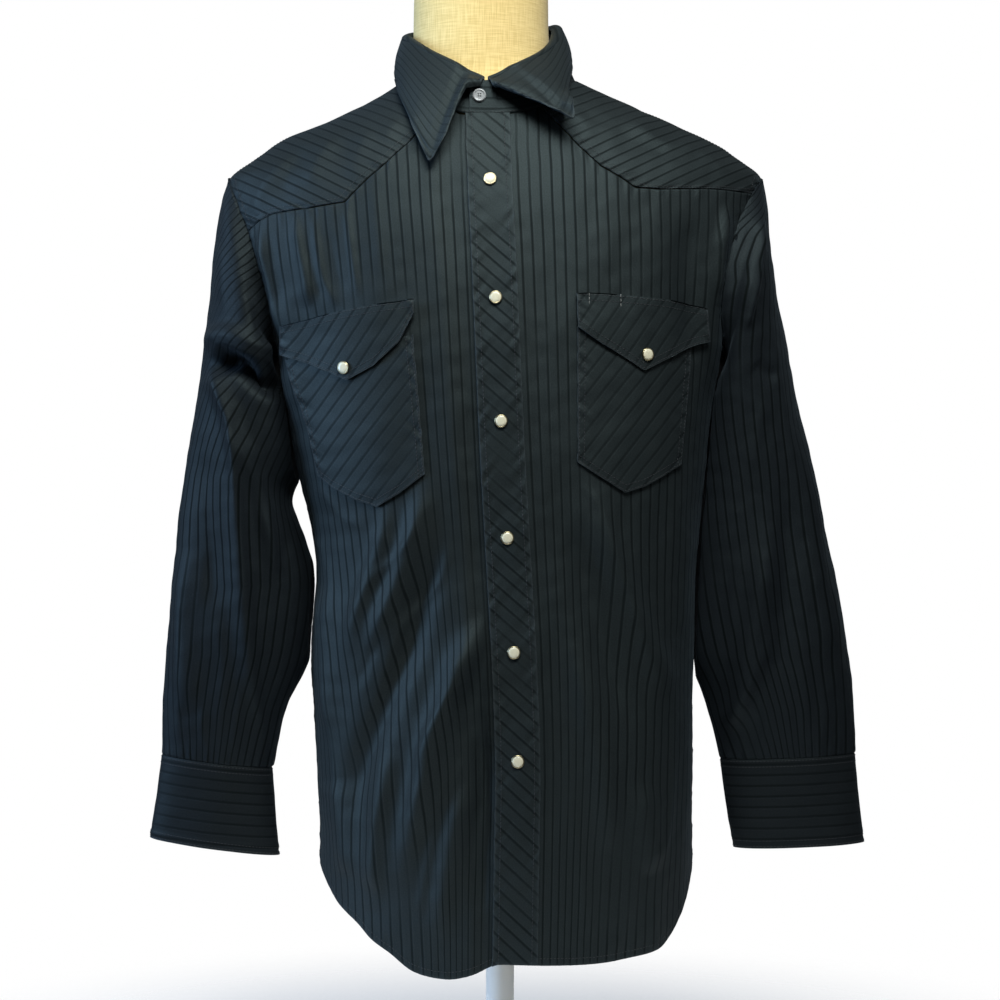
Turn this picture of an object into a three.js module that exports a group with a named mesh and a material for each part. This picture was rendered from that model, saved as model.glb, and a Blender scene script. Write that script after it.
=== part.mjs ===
// A long-sleeved western snap shirt, buttoned up on a limbless dress form that stands on a round base.
// Millimetres, +Z up, the shirt's front towards -Y, so the wearer's right is at -X.
// The origin is on the floor under the middle of the base.
import * as THREE from "three";

// Cloth and seams
const WALL = 1.2; // thickness of the shirt cloth
const SEAM = 0.25; // each panel stops this far short of its seam line
const LAYER = 1.2; // gap between a piece and the curved panel that it is sewn on
const TOUCH = 0.35; // gap between small flat pieces
const PATCH = 1.0; // thickness of pockets, flaps, plackets
const PLACKET_LIFT = 0.6; // gap below the front strip

// Front strip, snaps and pockets
const PLACKET_HALF = 19.5;
const SNAP_RADIUS = 5.6;
const SNAP_HEIGHT = 2.4;
const COLLAR_BUTTON_RADIUS = 5.8;

// Armholes
const UNDERARM_Z = 668;
const SHOULDER_Z = 829;
const SHOULDER_SEAM = 14; // degrees round the armhole from its top to the shoulder seam

// Dress form and its stand
const BASE_RADIUS = 150;
const BASE_THICK = 14;
const BOSS_RADIUS = 24;
const BOSS_TOP = 40;
const POLE_RADIUS = 12.5;
const FORM_BOTTOM = 232;

const DEGREE = Math.PI / 180;
const RIGHT = -1; // the wearer's right side is at -X
const LEFT = 1;

// Turns rows of plain numbers into rows with named columns.
const table = (columns, rows) => {
  const names = columns.split(" ");
  return rows.map((row) => Object.fromEntries(names.map((name, i) => [name, row[i]])));
};

// Sections of the shirt's body, from below the hem to the collar.
// z: height; mid: x of the centre front; right and left: x of the two sides;
// front and back: depth of the cloth before and behind the middle;
// square: 2 for an ellipse, more for squarer.
const BODY = table("z mid right left front back square", [
  [110, 12, -161, 171, 141, 152, 2.25],
  [238, 14, -161, 172, 139, 148, 2.25],
  [315, 15, -165, 173, 137, 145, 2.25],
  [405, 12, -169, 173, 135, 141, 2.25],
  [495, 7, -166, 177, 133, 138, 2.3],
  [585, 2, -185, 186, 134, 136, 2.3],
  [675, -2, -198, 195, 132, 135, 2.3],
  [720, -4, -212, 201, 128, 134, 2.3],
  [765, -6, -232, 217, 122, 130, 2.2],
  [800, -8, -243, 231, 115, 122, 2.1],
  [829, -9, -243, 235, 107, 113, 2.05],
  [845, -10, -222, 216, 101, 106, 2],
  [862, -10, -196, 189, 95, 99, 2],
  [880, -11, -153, 148, 87, 91, 2],
  [900, -12, -111, 104, 80, 83, 2],
  [918, -12, -88, 66, 75, 77, 2],
  [945, -12, -86, 61, 72, 73, 2],
]);

// Height of the hem round the body, by angle from the centre front, towards the wearer's left.
const HEM = table("angle z", [
  [-180, 137],
  [-150, 146],
  [-128, 168],
  [-108, 203],
  [-90, 222],
  [-71, 208],
  [-59, 191],
  [-49, 178],
  [-43, 166],
  [-36, 155],
  [-29, 142],
  [-19, 137],
  [-12, 141],
  [-5, 150],
  [0, 150],
  [20, 149],
  [34, 151],
  [49, 156],
  [55, 164],
  [63, 181],
  [74, 202],
  [90, 222],
  [108, 203],
  [128, 168],
  [150, 146],
  [180, 137],
]);

// Height of the neckline seam, by angle from the centre front.
const NECKLINE = table("angle z", [
  [-180, 933],
  [-130, 929],
  [-90, 916],
  [-75, 913],
  [-55, 908],
  [-40, 901],
  [-30, 894],
  [-20, 886],
  [-10, 878],
  [0, 875],
  [10, 878],
  [20, 886],
  [30, 895],
  [40, 903],
  [55, 910],
  [75, 915],
  [90, 918],
  [130, 930],
  [180, 933],
]);

// The front yoke seams, from the neckline to the armhole.
const YOKE_SEAM = {
  [RIGHT]: table("x z", [
    [-42, 882],
    [-76, 852],
    [-97, 831],
    [-133, 797],
    [-163, 793],
    [-197, 790],
    [-226, 778],
  ]),
  [LEFT]: table("x z", [
    [25, 882],
    [64, 850],
    [86, 829],
    [116, 810],
    [137, 809],
    [181, 812],
    [204, 812],
  ]),
};

// The back yoke's seam, by angle from the centre front: a point in the middle of the back.
const BACK_YOKE_DROP = 40;
const BACK_YOKE_Z = 790;

// The sleeves, from armhole to cuff. outerX, outerZ: the outer edge seen from the front;
// innerX, innerZ: the edge next to the body; front and back: depth before and behind the middle.
const SLEEVE = {
  [RIGHT]: table("outerX outerZ innerX innerZ front back", [
    [-242, 829, -196, 668, 50, 58],
    [-249, 806, -200, 657, 60, 66],
    [-256, 770, -192, 643, 64, 70],
    [-260, 728, -184, 622, 62, 68],
    [-265, 684, -176, 598, 58, 65],
    [-271, 636, -176, 570, 55, 62],
    [-281, 582, -187, 541, 52, 58],
    [-289, 522, -174, 504, 50, 54],
    [-294, 468, -162, 462, 48, 50],
    [-300, 405, -170, 404, 44, 45],
    [-303, 355, -192, 352, 37, 37],
    [-304, 313, -205, 301, 29, 27],
  ]),
  [LEFT]: table("outerX outerZ innerX innerZ front back", [
    [234, 829, 195, 668, 50, 58],
    [239, 806, 199, 657, 60, 66],
    [242, 770, 192, 643, 64, 70],
    [248, 728, 184, 622, 62, 68],
    [257, 684, 178, 598, 58, 65],
    [266, 636, 174, 572, 55, 62],
    [278, 582, 171, 544, 52, 58],
    [290, 522, 167, 506, 50, 54],
    [303, 462, 164, 462, 48, 50],
    [314, 400, 168, 404, 44, 45],
    [318, 355, 186, 357, 37, 37],
    [319, 314, 198, 309, 29, 27],
  ]),
};

// The cuffs, from the sleeve seam to the free edge.
const CUFF = {
  [RIGHT]: table("outerX outerZ innerX innerZ front back", [
    [-304, 313, -205, 301, 29, 27],
    [-309, 276, -202, 262, 26, 25],
    [-315, 238, -198, 222, 25, 24],
  ]),
  [LEFT]: table("outerX outerZ innerX innerZ front back", [
    [319, 314, 198, 309, 29, 27],
    [323, 274, 203, 269, 26, 25],
    [328, 234, 210, 229, 25, 24],
  ]),
};

// Where the front yoke seam meets each armhole, in degrees from the armhole's top, and how far the
// armhole cuts into the front and the back, in degrees of the body's section.
const ARMHOLE = {
  [RIGHT]: { yoke: 69, backYoke: 58, frontCut: 24, backCut: 22 },
  [LEFT]: { yoke: 38, backYoke: 58, frontCut: 26, backCut: 22 },
};

// The largest folds. path: x and z of the fold's line as seen from the front; wide: half-width;
// high: how far it stands out, or in where negative.
const FRONT_FOLDS = [
  { path: [[-46, 527], [-85, 455], [-125, 379]], wide: 15, high: 8 },
  { path: [[-93, 531], [-118, 470], [-150, 400]], wide: 14, high: -5 },
  { path: [[-17, 421], [-59, 354], [-92, 282]], wide: 15, high: 9 },
  { path: [[-42, 436], [-93, 354], [-126, 290]], wide: 14, high: -7 },
  { path: [[-12, 300], [-36, 235], [-50, 170]], wide: 14, high: 6 },
  { path: [[-22, 336], [-62, 261], [-84, 200]], wide: 13, high: -6 },
  { path: [[-206, 790], [-196, 738], [-182, 670], [-176, 600]], wide: 13, high: 8 },
  { path: [[-178, 786], [-160, 708]], wide: 10, high: 3 },
  { path: [[200, 800], [190, 748], [184, 700], [182, 620]], wide: 13, high: 6 },
  { path: [[76, 548], [110, 451], [146, 370]], wide: 15, high: 6 },
  { path: [[60, 520], [86, 430], [112, 350]], wide: 15, high: -4 },
  { path: [[120, 300], [132, 220]], wide: 14, high: 4 },
  { path: [[-140, 300], [-132, 215]], wide: 13, high: 4 },
];
const BACK_FOLDS = [
  { path: [[-120, 740], [-126, 560], [-110, 380], [-112, 200]], wide: 18, high: 9 },
  { path: [[-82, 700], [-84, 520], [-70, 330], [-72, 180]], wide: 16, high: -7 },
  { path: [[-40, 560], [-34, 380], [-36, 170]], wide: 18, high: 7 },
  { path: [[8, 620], [14, 400], [10, 170]], wide: 16, high: -7 },
  { path: [[54, 600], [60, 400], [56, 170]], wide: 18, high: 8 },
  { path: [[100, 720], [102, 520], [98, 330], [100, 190]], wide: 17, high: -7 },
  { path: [[140, 740], [142, 560], [136, 380], [136, 210]], wide: 16, high: 7 },
];
const SLEEVE_FRONT_FOLDS = [
  { path: [[-252, 664], [-224, 661], [-192, 640]], wide: 11, high: -14 },
  { path: [[-250, 690], [-225, 690], [-200, 680]], wide: 12, high: 6 },
  { path: [[-253, 650], [-236, 600], [-209, 535]], wide: 11, high: 6 },
  { path: [[-232, 596], [-230, 501], [-219, 413], [-214, 340]], wide: 12, high: 5 },
  { path: [[229, 792], [213, 703]], wide: 11, high: 5 },
  { path: [[240, 522], [219, 400], [206, 330]], wide: 14, high: 5 },
  { path: [[262, 600], [282, 480], [292, 390]], wide: 14, high: -4 },
];
const SLEEVE_BACK_FOLDS = [
  { path: [[-250, 640], [-225, 560], [-215, 480]], wide: 13, high: -6 },
  { path: [[-270, 520], [-262, 420], [-258, 340]], wide: 13, high: 5 },
  { path: [[250, 640], [226, 560], [214, 480]], wide: 13, high: -6 },
  { path: [[272, 520], [268, 420], [264, 340]], wide: 13, high: 5 },
];

// The collar, from the wearer's right front end round the back to the left front end.
// angle: place on the neckline; foldX..foldZ: the top of the stand; edgeX..edgeZ: the leaf's free edge.
const COLLAR = table("angle foldX foldY foldZ edgeX edgeY edgeZ", [
  [-3, -13, -82, 902, -50, -112, 829],
  [-13, -28, -79, 909, -58, -111, 829],
  [-20, -36, -77, 914, -66, -107, 838],
  [-45, -61, -59, 930, -81, -96, 862],
  [-70, -78, -32, 945, -94, -62, 890],
  [-92, -84, 0, 955, -99, -2, 903],
  [-125, -70, 44, 966, -86, 60, 918],
  [-155, -42, 66, 972, -50, 86, 922],
  [-180, -14, 72, 974, -14, 92, 923],
  [-205, 16, 65, 973, 26, 85, 922],
  [-235, 42, 43, 971, 62, 58, 922],
  [-268, 55, 2, 965, 74, -4, 918],
  [-290, 51, -26, 948, 77, -54, 892],
  [-315, 36, -55, 930, 70, -88, 881],
  [-340, 12, -75, 914, 64, -104, 871],
  [-357, -10, -82, 902, 60, -110, 867],
]);

// The dress form, from its underside to the top of its neck.
// mid: x of its middle; half: half-width; front and back: depth before and behind the middle.
const FORM = table("z mid half front back", [
  [232, 0, 118, 88, 96],
  [240, 0, 128, 96, 104],
  [280, 0, 138, 104, 111],
  [340, -1, 140, 105, 110],
  [430, -2, 131, 102, 99],
  [520, -3, 137, 106, 104],
  [620, -4, 156, 115, 114],
  [700, -5, 170, 112, 116],
  [760, -5, 178, 102, 110],
  [805, -5, 179, 95, 101],
  [838, -5, 171, 89, 92],
  [862, -5, 160, 86, 88],
  [880, -5, 142, 80, 83],
  [890, -6, 119, 74, 77],
  [900, -8, 97, 69, 73],
  [912, -13, 72, 62, 65],
  [925, -16, 64, 59, 62],
  [955, -17, 61, 58, 60],
  [995, -17, 60, 58, 59],
  [1010, -17, 58, 56, 57],
  [1016, -17, 54, 52, 53],
  [1019, -17, 45, 43, 44],
]);

// Materials
const finish = (color, roughness) => new THREE.MeshStandardMaterial({ color, roughness });
const CLOTH = finish(0x1d2228, 0.55);
const PEARL = finish(0xefe9c8, 0.25);
const GREY_BUTTON = finish(0xa9adaf, 0.3);
const LINEN = finish(0xeadfb4, 0.85);
const WHITE_PAINT = finish(0xf2f2ef, 0.35);

const shirt = new THREE.Group();

function add(name, geometry, material) {
  const mesh = new THREE.Mesh(geometry, material);
  mesh.name = name;
  shirt.add(mesh);
  return mesh;
}

const clamp = (x, low, high) => Math.min(high, Math.max(low, x));
const mix = (a, b, f) => a + (b - a) * f;
const smooth = (x, from, to) => {
  const f = clamp((x - from) / (to - from), 0, 1);
  return f * f * (3 - 2 * f);
};
const steps = (from, to, count) => Array.from({ length: count + 1 }, (_, i) => mix(from, to, i / count));
// Several stretches one after the other, each end shared.
const stretches = (...parts) =>
  parts.flatMap(([from, to, count], i) => steps(from, to, count).slice(i ? 1 : 0));

// A row between the rows of a table, at a value of its key column; curved is false for straight stretches.
function rowAt(rows, key, value, curved = true) {
  const up = rows[rows.length - 1][key] > rows[0][key] ? 1 : -1;
  let i = 0;
  while (i < rows.length - 2 && (value - rows[i + 1][key]) * up > 0) i++;
  const [a, b] = [rows[i], rows[i + 1]];
  const before = rows[Math.max(i - 1, 0)];
  const after = rows[Math.min(i + 2, rows.length - 1)];
  const span = b[key] - a[key];
  const f = clamp((value - a[key]) / span, 0, 1);
  const out = {};
  for (const name of Object.keys(a)) {
    const slopeA = ((b[name] - before[name]) / (b[key] - before[key])) * span;
    const slopeB = ((after[name] - a[name]) / (after[key] - a[key])) * span;
    out[name] = curved
      ? (2 * f ** 3 - 3 * f * f + 1) * a[name] +
        (f ** 3 - 2 * f * f + f) * slopeA +
        (3 * f * f - 2 * f ** 3) * b[name] +
        (f ** 3 - f * f) * slopeB
      : mix(a[name], b[name], f);
  }
  return out;
}

// A place along a table whose rows are evenly spaced stations, from 0 to 1.
const withStation = (rows) => rows.map((row, i) => ({ ...row, station: i / (rows.length - 1) }));
const stationAt = (rows, f) => rowAt(rows, "station", f);

// How far folds move a point of the cloth, seen from the front at x, z.
function foldHeight(folds, x, z) {
  let sum = 0;
  for (const { path, wide, high } of folds) {
    let best = Infinity;
    let place = 0;
    for (let i = 0; i + 1 < path.length; i++) {
      const [ax, az] = path[i];
      const [dx, dz] = [path[i + 1][0] - ax, path[i + 1][1] - az];
      const f = clamp(((x - ax) * dx + (z - az) * dz) / (dx * dx + dz * dz), 0, 1);
      const far = Math.hypot(x - ax - f * dx, z - az - f * dz);
      if (far < best) {
        best = far;
        place = (i + f) / (path.length - 1);
      }
    }
    const fade = smooth(place, -0.05, 0.25) * smooth(-place, -1.05, -0.75);
    sum += high * fade * Math.exp(-((best / wide) ** 2));
  }
  return sum;
}

// Points of a base surface moved out along its normal by its folds and by lift.
function lifted(base, folds, a, b, lift, sign) {
  const step = 0.01;
  const p = base(a, b);
  const alongA = base(a + step, b).sub(base(a - step, b));
  const alongB = base(a, b + step).sub(base(a, b - step));
  const normal = alongA.cross(alongB).normalize().multiplyScalar(sign);
  const facing = normal.y;
  const beside = smooth(Math.abs(p.x - rowAt(BODY, "z", p.z).mid), PLACKET_HALF, PLACKET_HALF + 9);
  const front = beside * smooth(-facing, -0.25, 0.35) * foldHeight(folds.front, p.x, p.z);
  const back = smooth(facing, -0.25, 0.35) * foldHeight(folds.back, p.x, p.z);
  return p.addScaledVector(normal, front + back + lift);
}

const SHOULDER_ROUND = 26;

// The shirt's body at an angle in degrees from the centre front and a height.
function bodyBase(angle, z) {
  const row = rowAt(BODY, "z", z);
  const [s, c] = [Math.sin(angle * DEGREE), Math.cos(angle * DEGREE)];
  const swell = (Math.abs(s) ** row.square + Math.abs(c) ** row.square) ** (-1 / row.square);
  const sideAt = (r) => (s < 0 ? r.mid - r.right : r.left - r.mid);
  // away from the two sides the edge of the shoulders is rounded off
  const near = [-2, -1, 0, 1, 2].map((i) => sideAt(rowAt(BODY, "z", z + i * SHOULDER_ROUND / 2)));
  const round = near.reduce((sum, one) => sum + one, 0) / near.length;
  const side = mix(Math.min(round, sideAt(row)), sideAt(row), Math.abs(s) ** 6);
  return new THREE.Vector3(row.mid + side * s * swell, -(c > 0 ? row.front : row.back) * c * swell, z);
}
const BODY_FOLDS = { front: FRONT_FOLDS, back: BACK_FOLDS };
const body = (angle, z, lift = 0) => lifted(bodyBase, BODY_FOLDS, angle, z, lift, 1);

// How far out a point is from the body's middle, as a share of the body's section: 1 is on the cloth.
function share(p) {
  const row = rowAt(BODY, "z", p.z);
  const side = p.x < row.mid ? row.mid - row.right : row.left - row.mid;
  const depth = p.y > 0 ? row.back : row.front;
  const [a, b] = [Math.abs(p.x - row.mid) / side, Math.abs(p.y) / depth];
  return (a ** row.square + b ** row.square) ** (1 / row.square);
}

// The angle on the body's front where it is at x, at height z.
function angleOf(x, z) {
  const side = Math.sign(x - rowAt(BODY, "z", z).mid) || 1;
  let [low, high] = [0, 90];
  for (let i = 0; i < 40; i++) {
    const angle = (low + high) / 2;
    if ((bodyBase(side * angle, z).x - x) * side < 0) low = angle;
    else high = angle;
  }
  return side * low;
}

const necklineAt = (angle) => rowAt(NECKLINE, "angle", angle).z;
const hemAt = (angle) => rowAt(HEM, "angle", ((((angle + 180) % 360) + 360) % 360) - 180).z;

// The armhole: degrees round it from its top, 90 at the front, 180 under the arm, 270 at the back.
function armhole(side, turn) {
  const { frontCut, backCut } = ARMHOLE[side];
  const s = Math.sin(turn * DEGREE);
  const cut = Math.sign(s) * Math.abs(s) ** 0.8 * (s > 0 ? frontCut : backCut);
  const z = (SHOULDER_Z + UNDERARM_Z) / 2 + ((SHOULDER_Z - UNDERARM_Z) / 2) * Math.cos(turn * DEGREE);
  return [side * (90 - cut), z];
}

// Degrees round each armhole where the panels' points lie.
const armholeTurns = (side) => {
  const { yoke, backYoke } = ARMHOLE[side];
  return stretches(
    [SHOULDER_SEAM, yoke, 3],
    [yoke, 180, 7],
    [180, 360 - backYoke, 7],
    [360 - backYoke, 360 + SHOULDER_SEAM, 4],
  );
};
const turnsBetween = (side, from, to) =>
  armholeTurns(side).filter((turn) => turn > from - 0.01 && turn < to + 0.01);

// The four edges of a panel are lists of [angle, z]; the inside is blended from them.
function blend({ bottom, top, left, right }) {
  const [nu, nv] = [bottom.length - 1, left.length - 1];
  return bottom.map((low, i) =>
    left.map((first, j) => {
      const [u, v] = [i / nu, j / nv];
      return [0, 1].map(
        (k) =>
          mix(low[k], top[i][k], v) +
          mix(first[k], right[j][k], u) -
          mix(mix(bottom[0][k], bottom[nu][k], u), mix(top[0][k], top[nu][k], u), v),
      );
    }),
  );
}

// A closed wall between two grids of points; round joins the first column to the last.
function wall(outer, inner, round = false) {
  const [nu, nv] = [outer.length, outer[0].length];
  const points = [...outer.flat(), ...inner.flat()];
  const at = (layer, i, j) => layer * nu * nv + (i % nu) * nv + j;
  const quads = [];
  const columns = round ? nu : nu - 1;
  for (let i = 0; i < columns; i++) {
    for (let j = 0; j < nv - 1; j++) {
      quads.push([at(0, i, j), at(0, i + 1, j), at(0, i + 1, j + 1), at(0, i, j + 1)]);
      quads.push([at(1, i, j + 1), at(1, i + 1, j + 1), at(1, i + 1, j), at(1, i, j)]);
    }
    quads.push([at(1, i, 0), at(1, i + 1, 0), at(0, i + 1, 0), at(0, i, 0)]);
    quads.push([at(0, i, nv - 1), at(0, i + 1, nv - 1), at(1, i + 1, nv - 1), at(1, i, nv - 1)]);
  }
  if (!round) {
    for (let j = 0; j < nv - 1; j++) {
      quads.push([at(0, 0, j), at(0, 0, j + 1), at(1, 0, j + 1), at(1, 0, j)]);
      quads.push([at(1, nu - 1, j), at(1, nu - 1, j + 1), at(0, nu - 1, j + 1), at(0, nu - 1, j)]);
    }
  }
  return closed(points, quads.flatMap(([a, b, c, d]) => [[a, b, c], [a, c, d]]));
}

// A geometry from points and triangles, turned so that its faces point out.
function closed(points, triangles) {
  let volume = 0;
  for (const [a, b, c] of triangles) volume += points[a].dot(points[b].clone().cross(points[c]));
  const index = volume > 0 ? triangles.flat() : triangles.flatMap(([a, b, c]) => [a, c, b]);
  const geometry = new THREE.BufferGeometry().setFromPoints(points);
  geometry.setIndex(index);
  return geometry;
}

// Moves the rim of a grid inwards by the seam gap; the same moves are used for both faces.
function rimMoves(grid, round) {
  const [nu, nv] = [grid.length, grid[0].length];
  return grid.map((column, i) =>
    column.map((point, j) => {
      const move = new THREE.Vector3();
      const towards = (other) => move.add(other.clone().sub(point).setLength(SEAM));
      if (j === 0) towards(grid[i][1]);
      if (j === nv - 1) towards(grid[i][nv - 2]);
      if (!round && i === 0) towards(grid[1][j]);
      if (!round && i === nu - 1) towards(grid[nu - 2][j]);
      return move;
    }),
  );
}

// A piece of cloth: places is a grid of surface coordinates, surface turns one and a lift into a point,
// high and low are the lifts of its two faces, as numbers or functions of a place.
function cloth(name, places, surface, { high = 0, low = -WALL, round = false } = {}) {
  const face = (lift) => {
    const of = typeof lift === "function" ? lift : () => lift;
    return places.map((column) => column.map((place) => surface(...place, of(...place))));
  };
  const [outer, inner] = [face(high), face(low)];
  const moves = rimMoves(outer, round);
  for (const grid of [outer, inner]) {
    grid.forEach((column, i) => column.forEach((point, j) => point.add(moves[i][j])));
  }
  return add(name, wall(outer, inner, round), CLOTH);
}

// Fronts. Under the strip the wearer's right front passes below the left one.
const sideName = { [RIGHT]: "right", [LEFT]: "left" };
const UNDERLAP = 3.2; // how far the right front lies under the left one

function front(side) {
  const { yoke } = ARMHOLE[side];
  const columns = NECK_COLUMNS + 12;
  // the edge beside the centre front: both fronts reach across it
  const edgeOffset = side === LEFT ? -PLACKET_HALF : PLACKET_HALF - 4;
  const edge = (z) => angleOf(rowAt(BODY, "z", z).mid + edgeOffset, z);
  const startHem = hemAt(0) + (side === RIGHT ? 2 : 0);
  const startTop = necklineAt(0);
  const rows = stretches([0, 0.78, 14], [0.78, 1, 7]);
  const centre = rows.map((v) => {
    const z = mix(startHem, startTop, v);
    return [edge(z), z];
  });
  const arm = turnsBetween(side, yoke, 180).reverse();
  const sideSeam = steps(hemAt(side * 90), UNDERARM_Z, 14).map((z) => [side * 90, z]);
  const outer = [...sideSeam, ...arm.slice(1).map((turn) => armhole(side, turn))];
  const hemAngles = stretches(
    [centre[0][0], stripEdge(side, startHem), 2],
    [stripEdge(side, startHem), side * 90, columns - 2],
  );
  const hem = hemAngles.map((angle, i) => [angle, i === 0 ? startHem : hemAt(angle)]);
  const corner = centre[centre.length - 1];
  const end = outer[outer.length - 1];
  const top = frontTop(side, corner, end, columns);
  const sink = (angle) => {
    if (side === LEFT) return 0;
    return -UNDERLAP * smooth(angle, -13, -8);
  };
  cloth(`front_${sideName[side]}`, blend({ bottom: hem, top, left: centre, right: outer }), body, {
    high: sink,
    low: (angle) => sink(angle) - WALL,
  });
}

// The angle where a front comes out from under the strip, or leaves it.
const stripEdge = (side, z) =>
  angleOf(rowAt(BODY, "z", z).mid + side * (PLACKET_HALF + (side === RIGHT ? 1.5 : 0)), z);

// A front's upper edge: the neckline as far as the yoke seam, then the seam to the armhole.
const NECK_COLUMNS = 3;
function frontTop(side, corner, end, columns) {
  const points = yokeSeamPoints(side, end, columns - NECK_COLUMNS);
  const strip = stripEdge(side, necklineAt(0));
  const angles = stretches([corner[0], strip, NECK_COLUMNS - 1], [strip, points[0][0], 1]);
  const neck = angles.map((angle) => [angle, necklineAt(angle)]);
  return [...neck, ...points.slice(1)];
}

// Points of a front yoke seam as [angle, z], from the neckline to the armhole.
function yokeSeamPoints(side, end, count) {
  const seam = YOKE_SEAM[side];
  const startAngle = angleOf(seam[0].x, necklineAt(side * 30));
  const inside = seam.slice(1, -1).map(({ x, z }) => [angleOf(x, z), z]);
  const line = [[startAngle, necklineAt(startAngle)], ...inside, end].map(([angle, z]) => ({ angle, z }));
  return steps(0, 1, count).map((f) => {
    const row = rowAt(withStation(line), "station", f, false);
    return [row.angle, row.z];
  });
}

function frontYoke(side) {
  const { yoke } = ARMHOLE[side];
  const count = 12;
  const seam = yokeSeamPoints(side, armhole(side, yoke), count);
  const arm = turnsBetween(side, SHOULDER_SEAM, yoke).reverse();
  const armEdge = arm.map((turn) => armhole(side, turn));
  const shoulderEnd = armEdge[armEdge.length - 1];
  const neckAngle = shoulderEnd[0];
  const shoulder = steps(0, 1, count).map((f) => [
    mix(neckAngle, shoulderEnd[0], f),
    mix(necklineAt(neckAngle), shoulderEnd[1], f),
  ]);
  const neck = steps(0, 1, arm.length - 1).map((f) => {
    const angle = mix(seam[0][0], neckAngle, f);
    return [angle, necklineAt(angle)];
  });
  const places = blend({ bottom: seam, top: shoulder, left: neck, right: armEdge });
  cloth(`yoke_front_${sideName[side]}`, places, body);
}

// Back: angles run from the wearer's left side, round behind, to the right side.
const backYokeZ = (angle) => {
  const nearMiddle = Math.max(0, 1 - Math.abs(angle - 180) / 62);
  return BACK_YOKE_Z - BACK_YOKE_DROP * nearMiddle ** 1.1;
};
const behind = (side, [angle, z]) => (side === LEFT ? [angle, z] : [360 + angle, z]);

function back() {
  const columns = 24;
  const rows = 14;
  const edge = (side) => [
    ...steps(hemAt(90), UNDERARM_Z, rows).map((z) => [side === LEFT ? 90 : 270, z]),
    ...turnsBetween(side, 180, 360 - ARMHOLE[side].backYoke)
      .slice(1)
      .map((turn) => behind(side, armhole(side, turn))),
  ];
  const [left, right] = [edge(LEFT), edge(RIGHT)];
  const bottom = steps(90, 270, columns).map((angle) => [angle, hemAt(angle)]);
  const top = backYokeSeam(left[left.length - 1], right[right.length - 1], columns);
  cloth("back", blend({ bottom, top, left, right }), body);
}

function backYokeSeam(start, end, columns) {
  return steps(0, 1, columns).map((f) => {
    const angle = mix(start[0], end[0], f);
    const trim = mix(start[1] - backYokeZ(start[0]), end[1] - backYokeZ(end[0]), f);
    return [angle, backYokeZ(angle) + trim];
  });
}

function backYoke() {
  const columns = 24;
  const edge = (side) =>
    turnsBetween(side, 360 - ARMHOLE[side].backYoke, 360 + SHOULDER_SEAM).map((turn) =>
      behind(side, armhole(side, turn)),
    );
  const shoulder = (start) => {
    const count = 6;
    const top = necklineAt(start[0] > 180 ? start[0] - 360 : start[0]);
    return steps(0, 1, count).map((f) => [start[0], mix(start[1], top, f)]);
  };
  const side = (which) => {
    const arm = edge(which);
    return [...arm, ...shoulder(arm[arm.length - 1]).slice(1)];
  };
  const [left, right] = [side(LEFT), side(RIGHT)];
  const bottom = backYokeSeam(left[0], right[0], columns);
  const [first, last] = [left[left.length - 1][0], right[right.length - 1][0]];
  const neckPlace = (angle) => [angle, necklineAt(angle > 180 ? angle - 360 : angle)];
  const top = steps(first, last, columns).map(neckPlace);
  cloth("yoke_back", blend({ bottom, top, left, right }), body);
}

// A tube's section between its outer and inner edges; turn as for the armhole.
function ringPoint(row, turn) {
  const [s, c] = [Math.sin(turn * DEGREE), Math.cos(turn * DEGREE)];
  return new THREE.Vector3(
    (row.outerX + row.innerX) / 2 + ((row.outerX - row.innerX) / 2) * c,
    -(s > 0 ? row.front : row.back) * s,
    (row.outerZ + row.innerZ) / 2 + ((row.outerZ - row.innerZ) / 2) * c,
  );
}

// Moves a point of a sleeve away from the body where it is nearer than gap.
function keepOff(p, gap) {
  const row = rowAt(BODY, "z", p.z);
  const size = Math.hypot(p.x - row.mid, p.y);
  const lack = 1 + gap / size - share(p);
  if (lack > 0 && p.z < SHOULDER_Z + 5) {
    p.x += (p.x - row.mid) * lack;
    p.y += p.y * lack;
  }
  return p;
}
const SLEEVE_OUT = WALL + 1.1; // the sleeve's seam lies on the outside of the armhole
const SLEEVE_OFF = 3.4; // least distance between sleeve and body below the armhole

const SLEEVE_FOLDS = { front: SLEEVE_FRONT_FOLDS, back: SLEEVE_BACK_FOLDS };
const CAP = 0.28; // share of the sleeve over which it leaves the armhole's outline

function sleeveSurface(side) {
  const rows = withStation(SLEEVE[side]);
  const base = (turn, along) => {
    const leave = (1 - clamp(along / CAP, 0, 1)) ** 2;
    const point = ringPoint(stationAt(rows, along), turn);
    const seam = body(...armhole(side, turn), SLEEVE_OUT);
    point.addScaledVector(seam.sub(ringPoint(rows[0], turn)), leave);
    return keepOff(point, SLEEVE_OFF * smooth(along, 0, 0.12));
  };
  // The seam end carries no folds, so that it meets the armhole.
  return (turn, along, lift) => {
    const still = base(turn, along);
    const folded = liftedTube(base, SLEEVE_FOLDS, turn, along, 0, side);
    const plain = liftedTube(base, { front: [], back: [] }, turn, along, 0, side);
    const normal = liftedTube(base, { front: [], back: [] }, turn, along, 1, side).sub(plain);
    const share = smooth(along, 0.02, 0.12) * smooth(-along, -1, -0.93);
    return still.add(folded.sub(plain).multiplyScalar(share)).addScaledVector(normal, lift);
  };
}
const liftedTube = (base, folds, turn, along, lift, side) => {
  const scaled = (a, b) => base(a, b / 100);
  return lifted(scaled, folds, turn, along * 100, lift, side);
};

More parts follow.
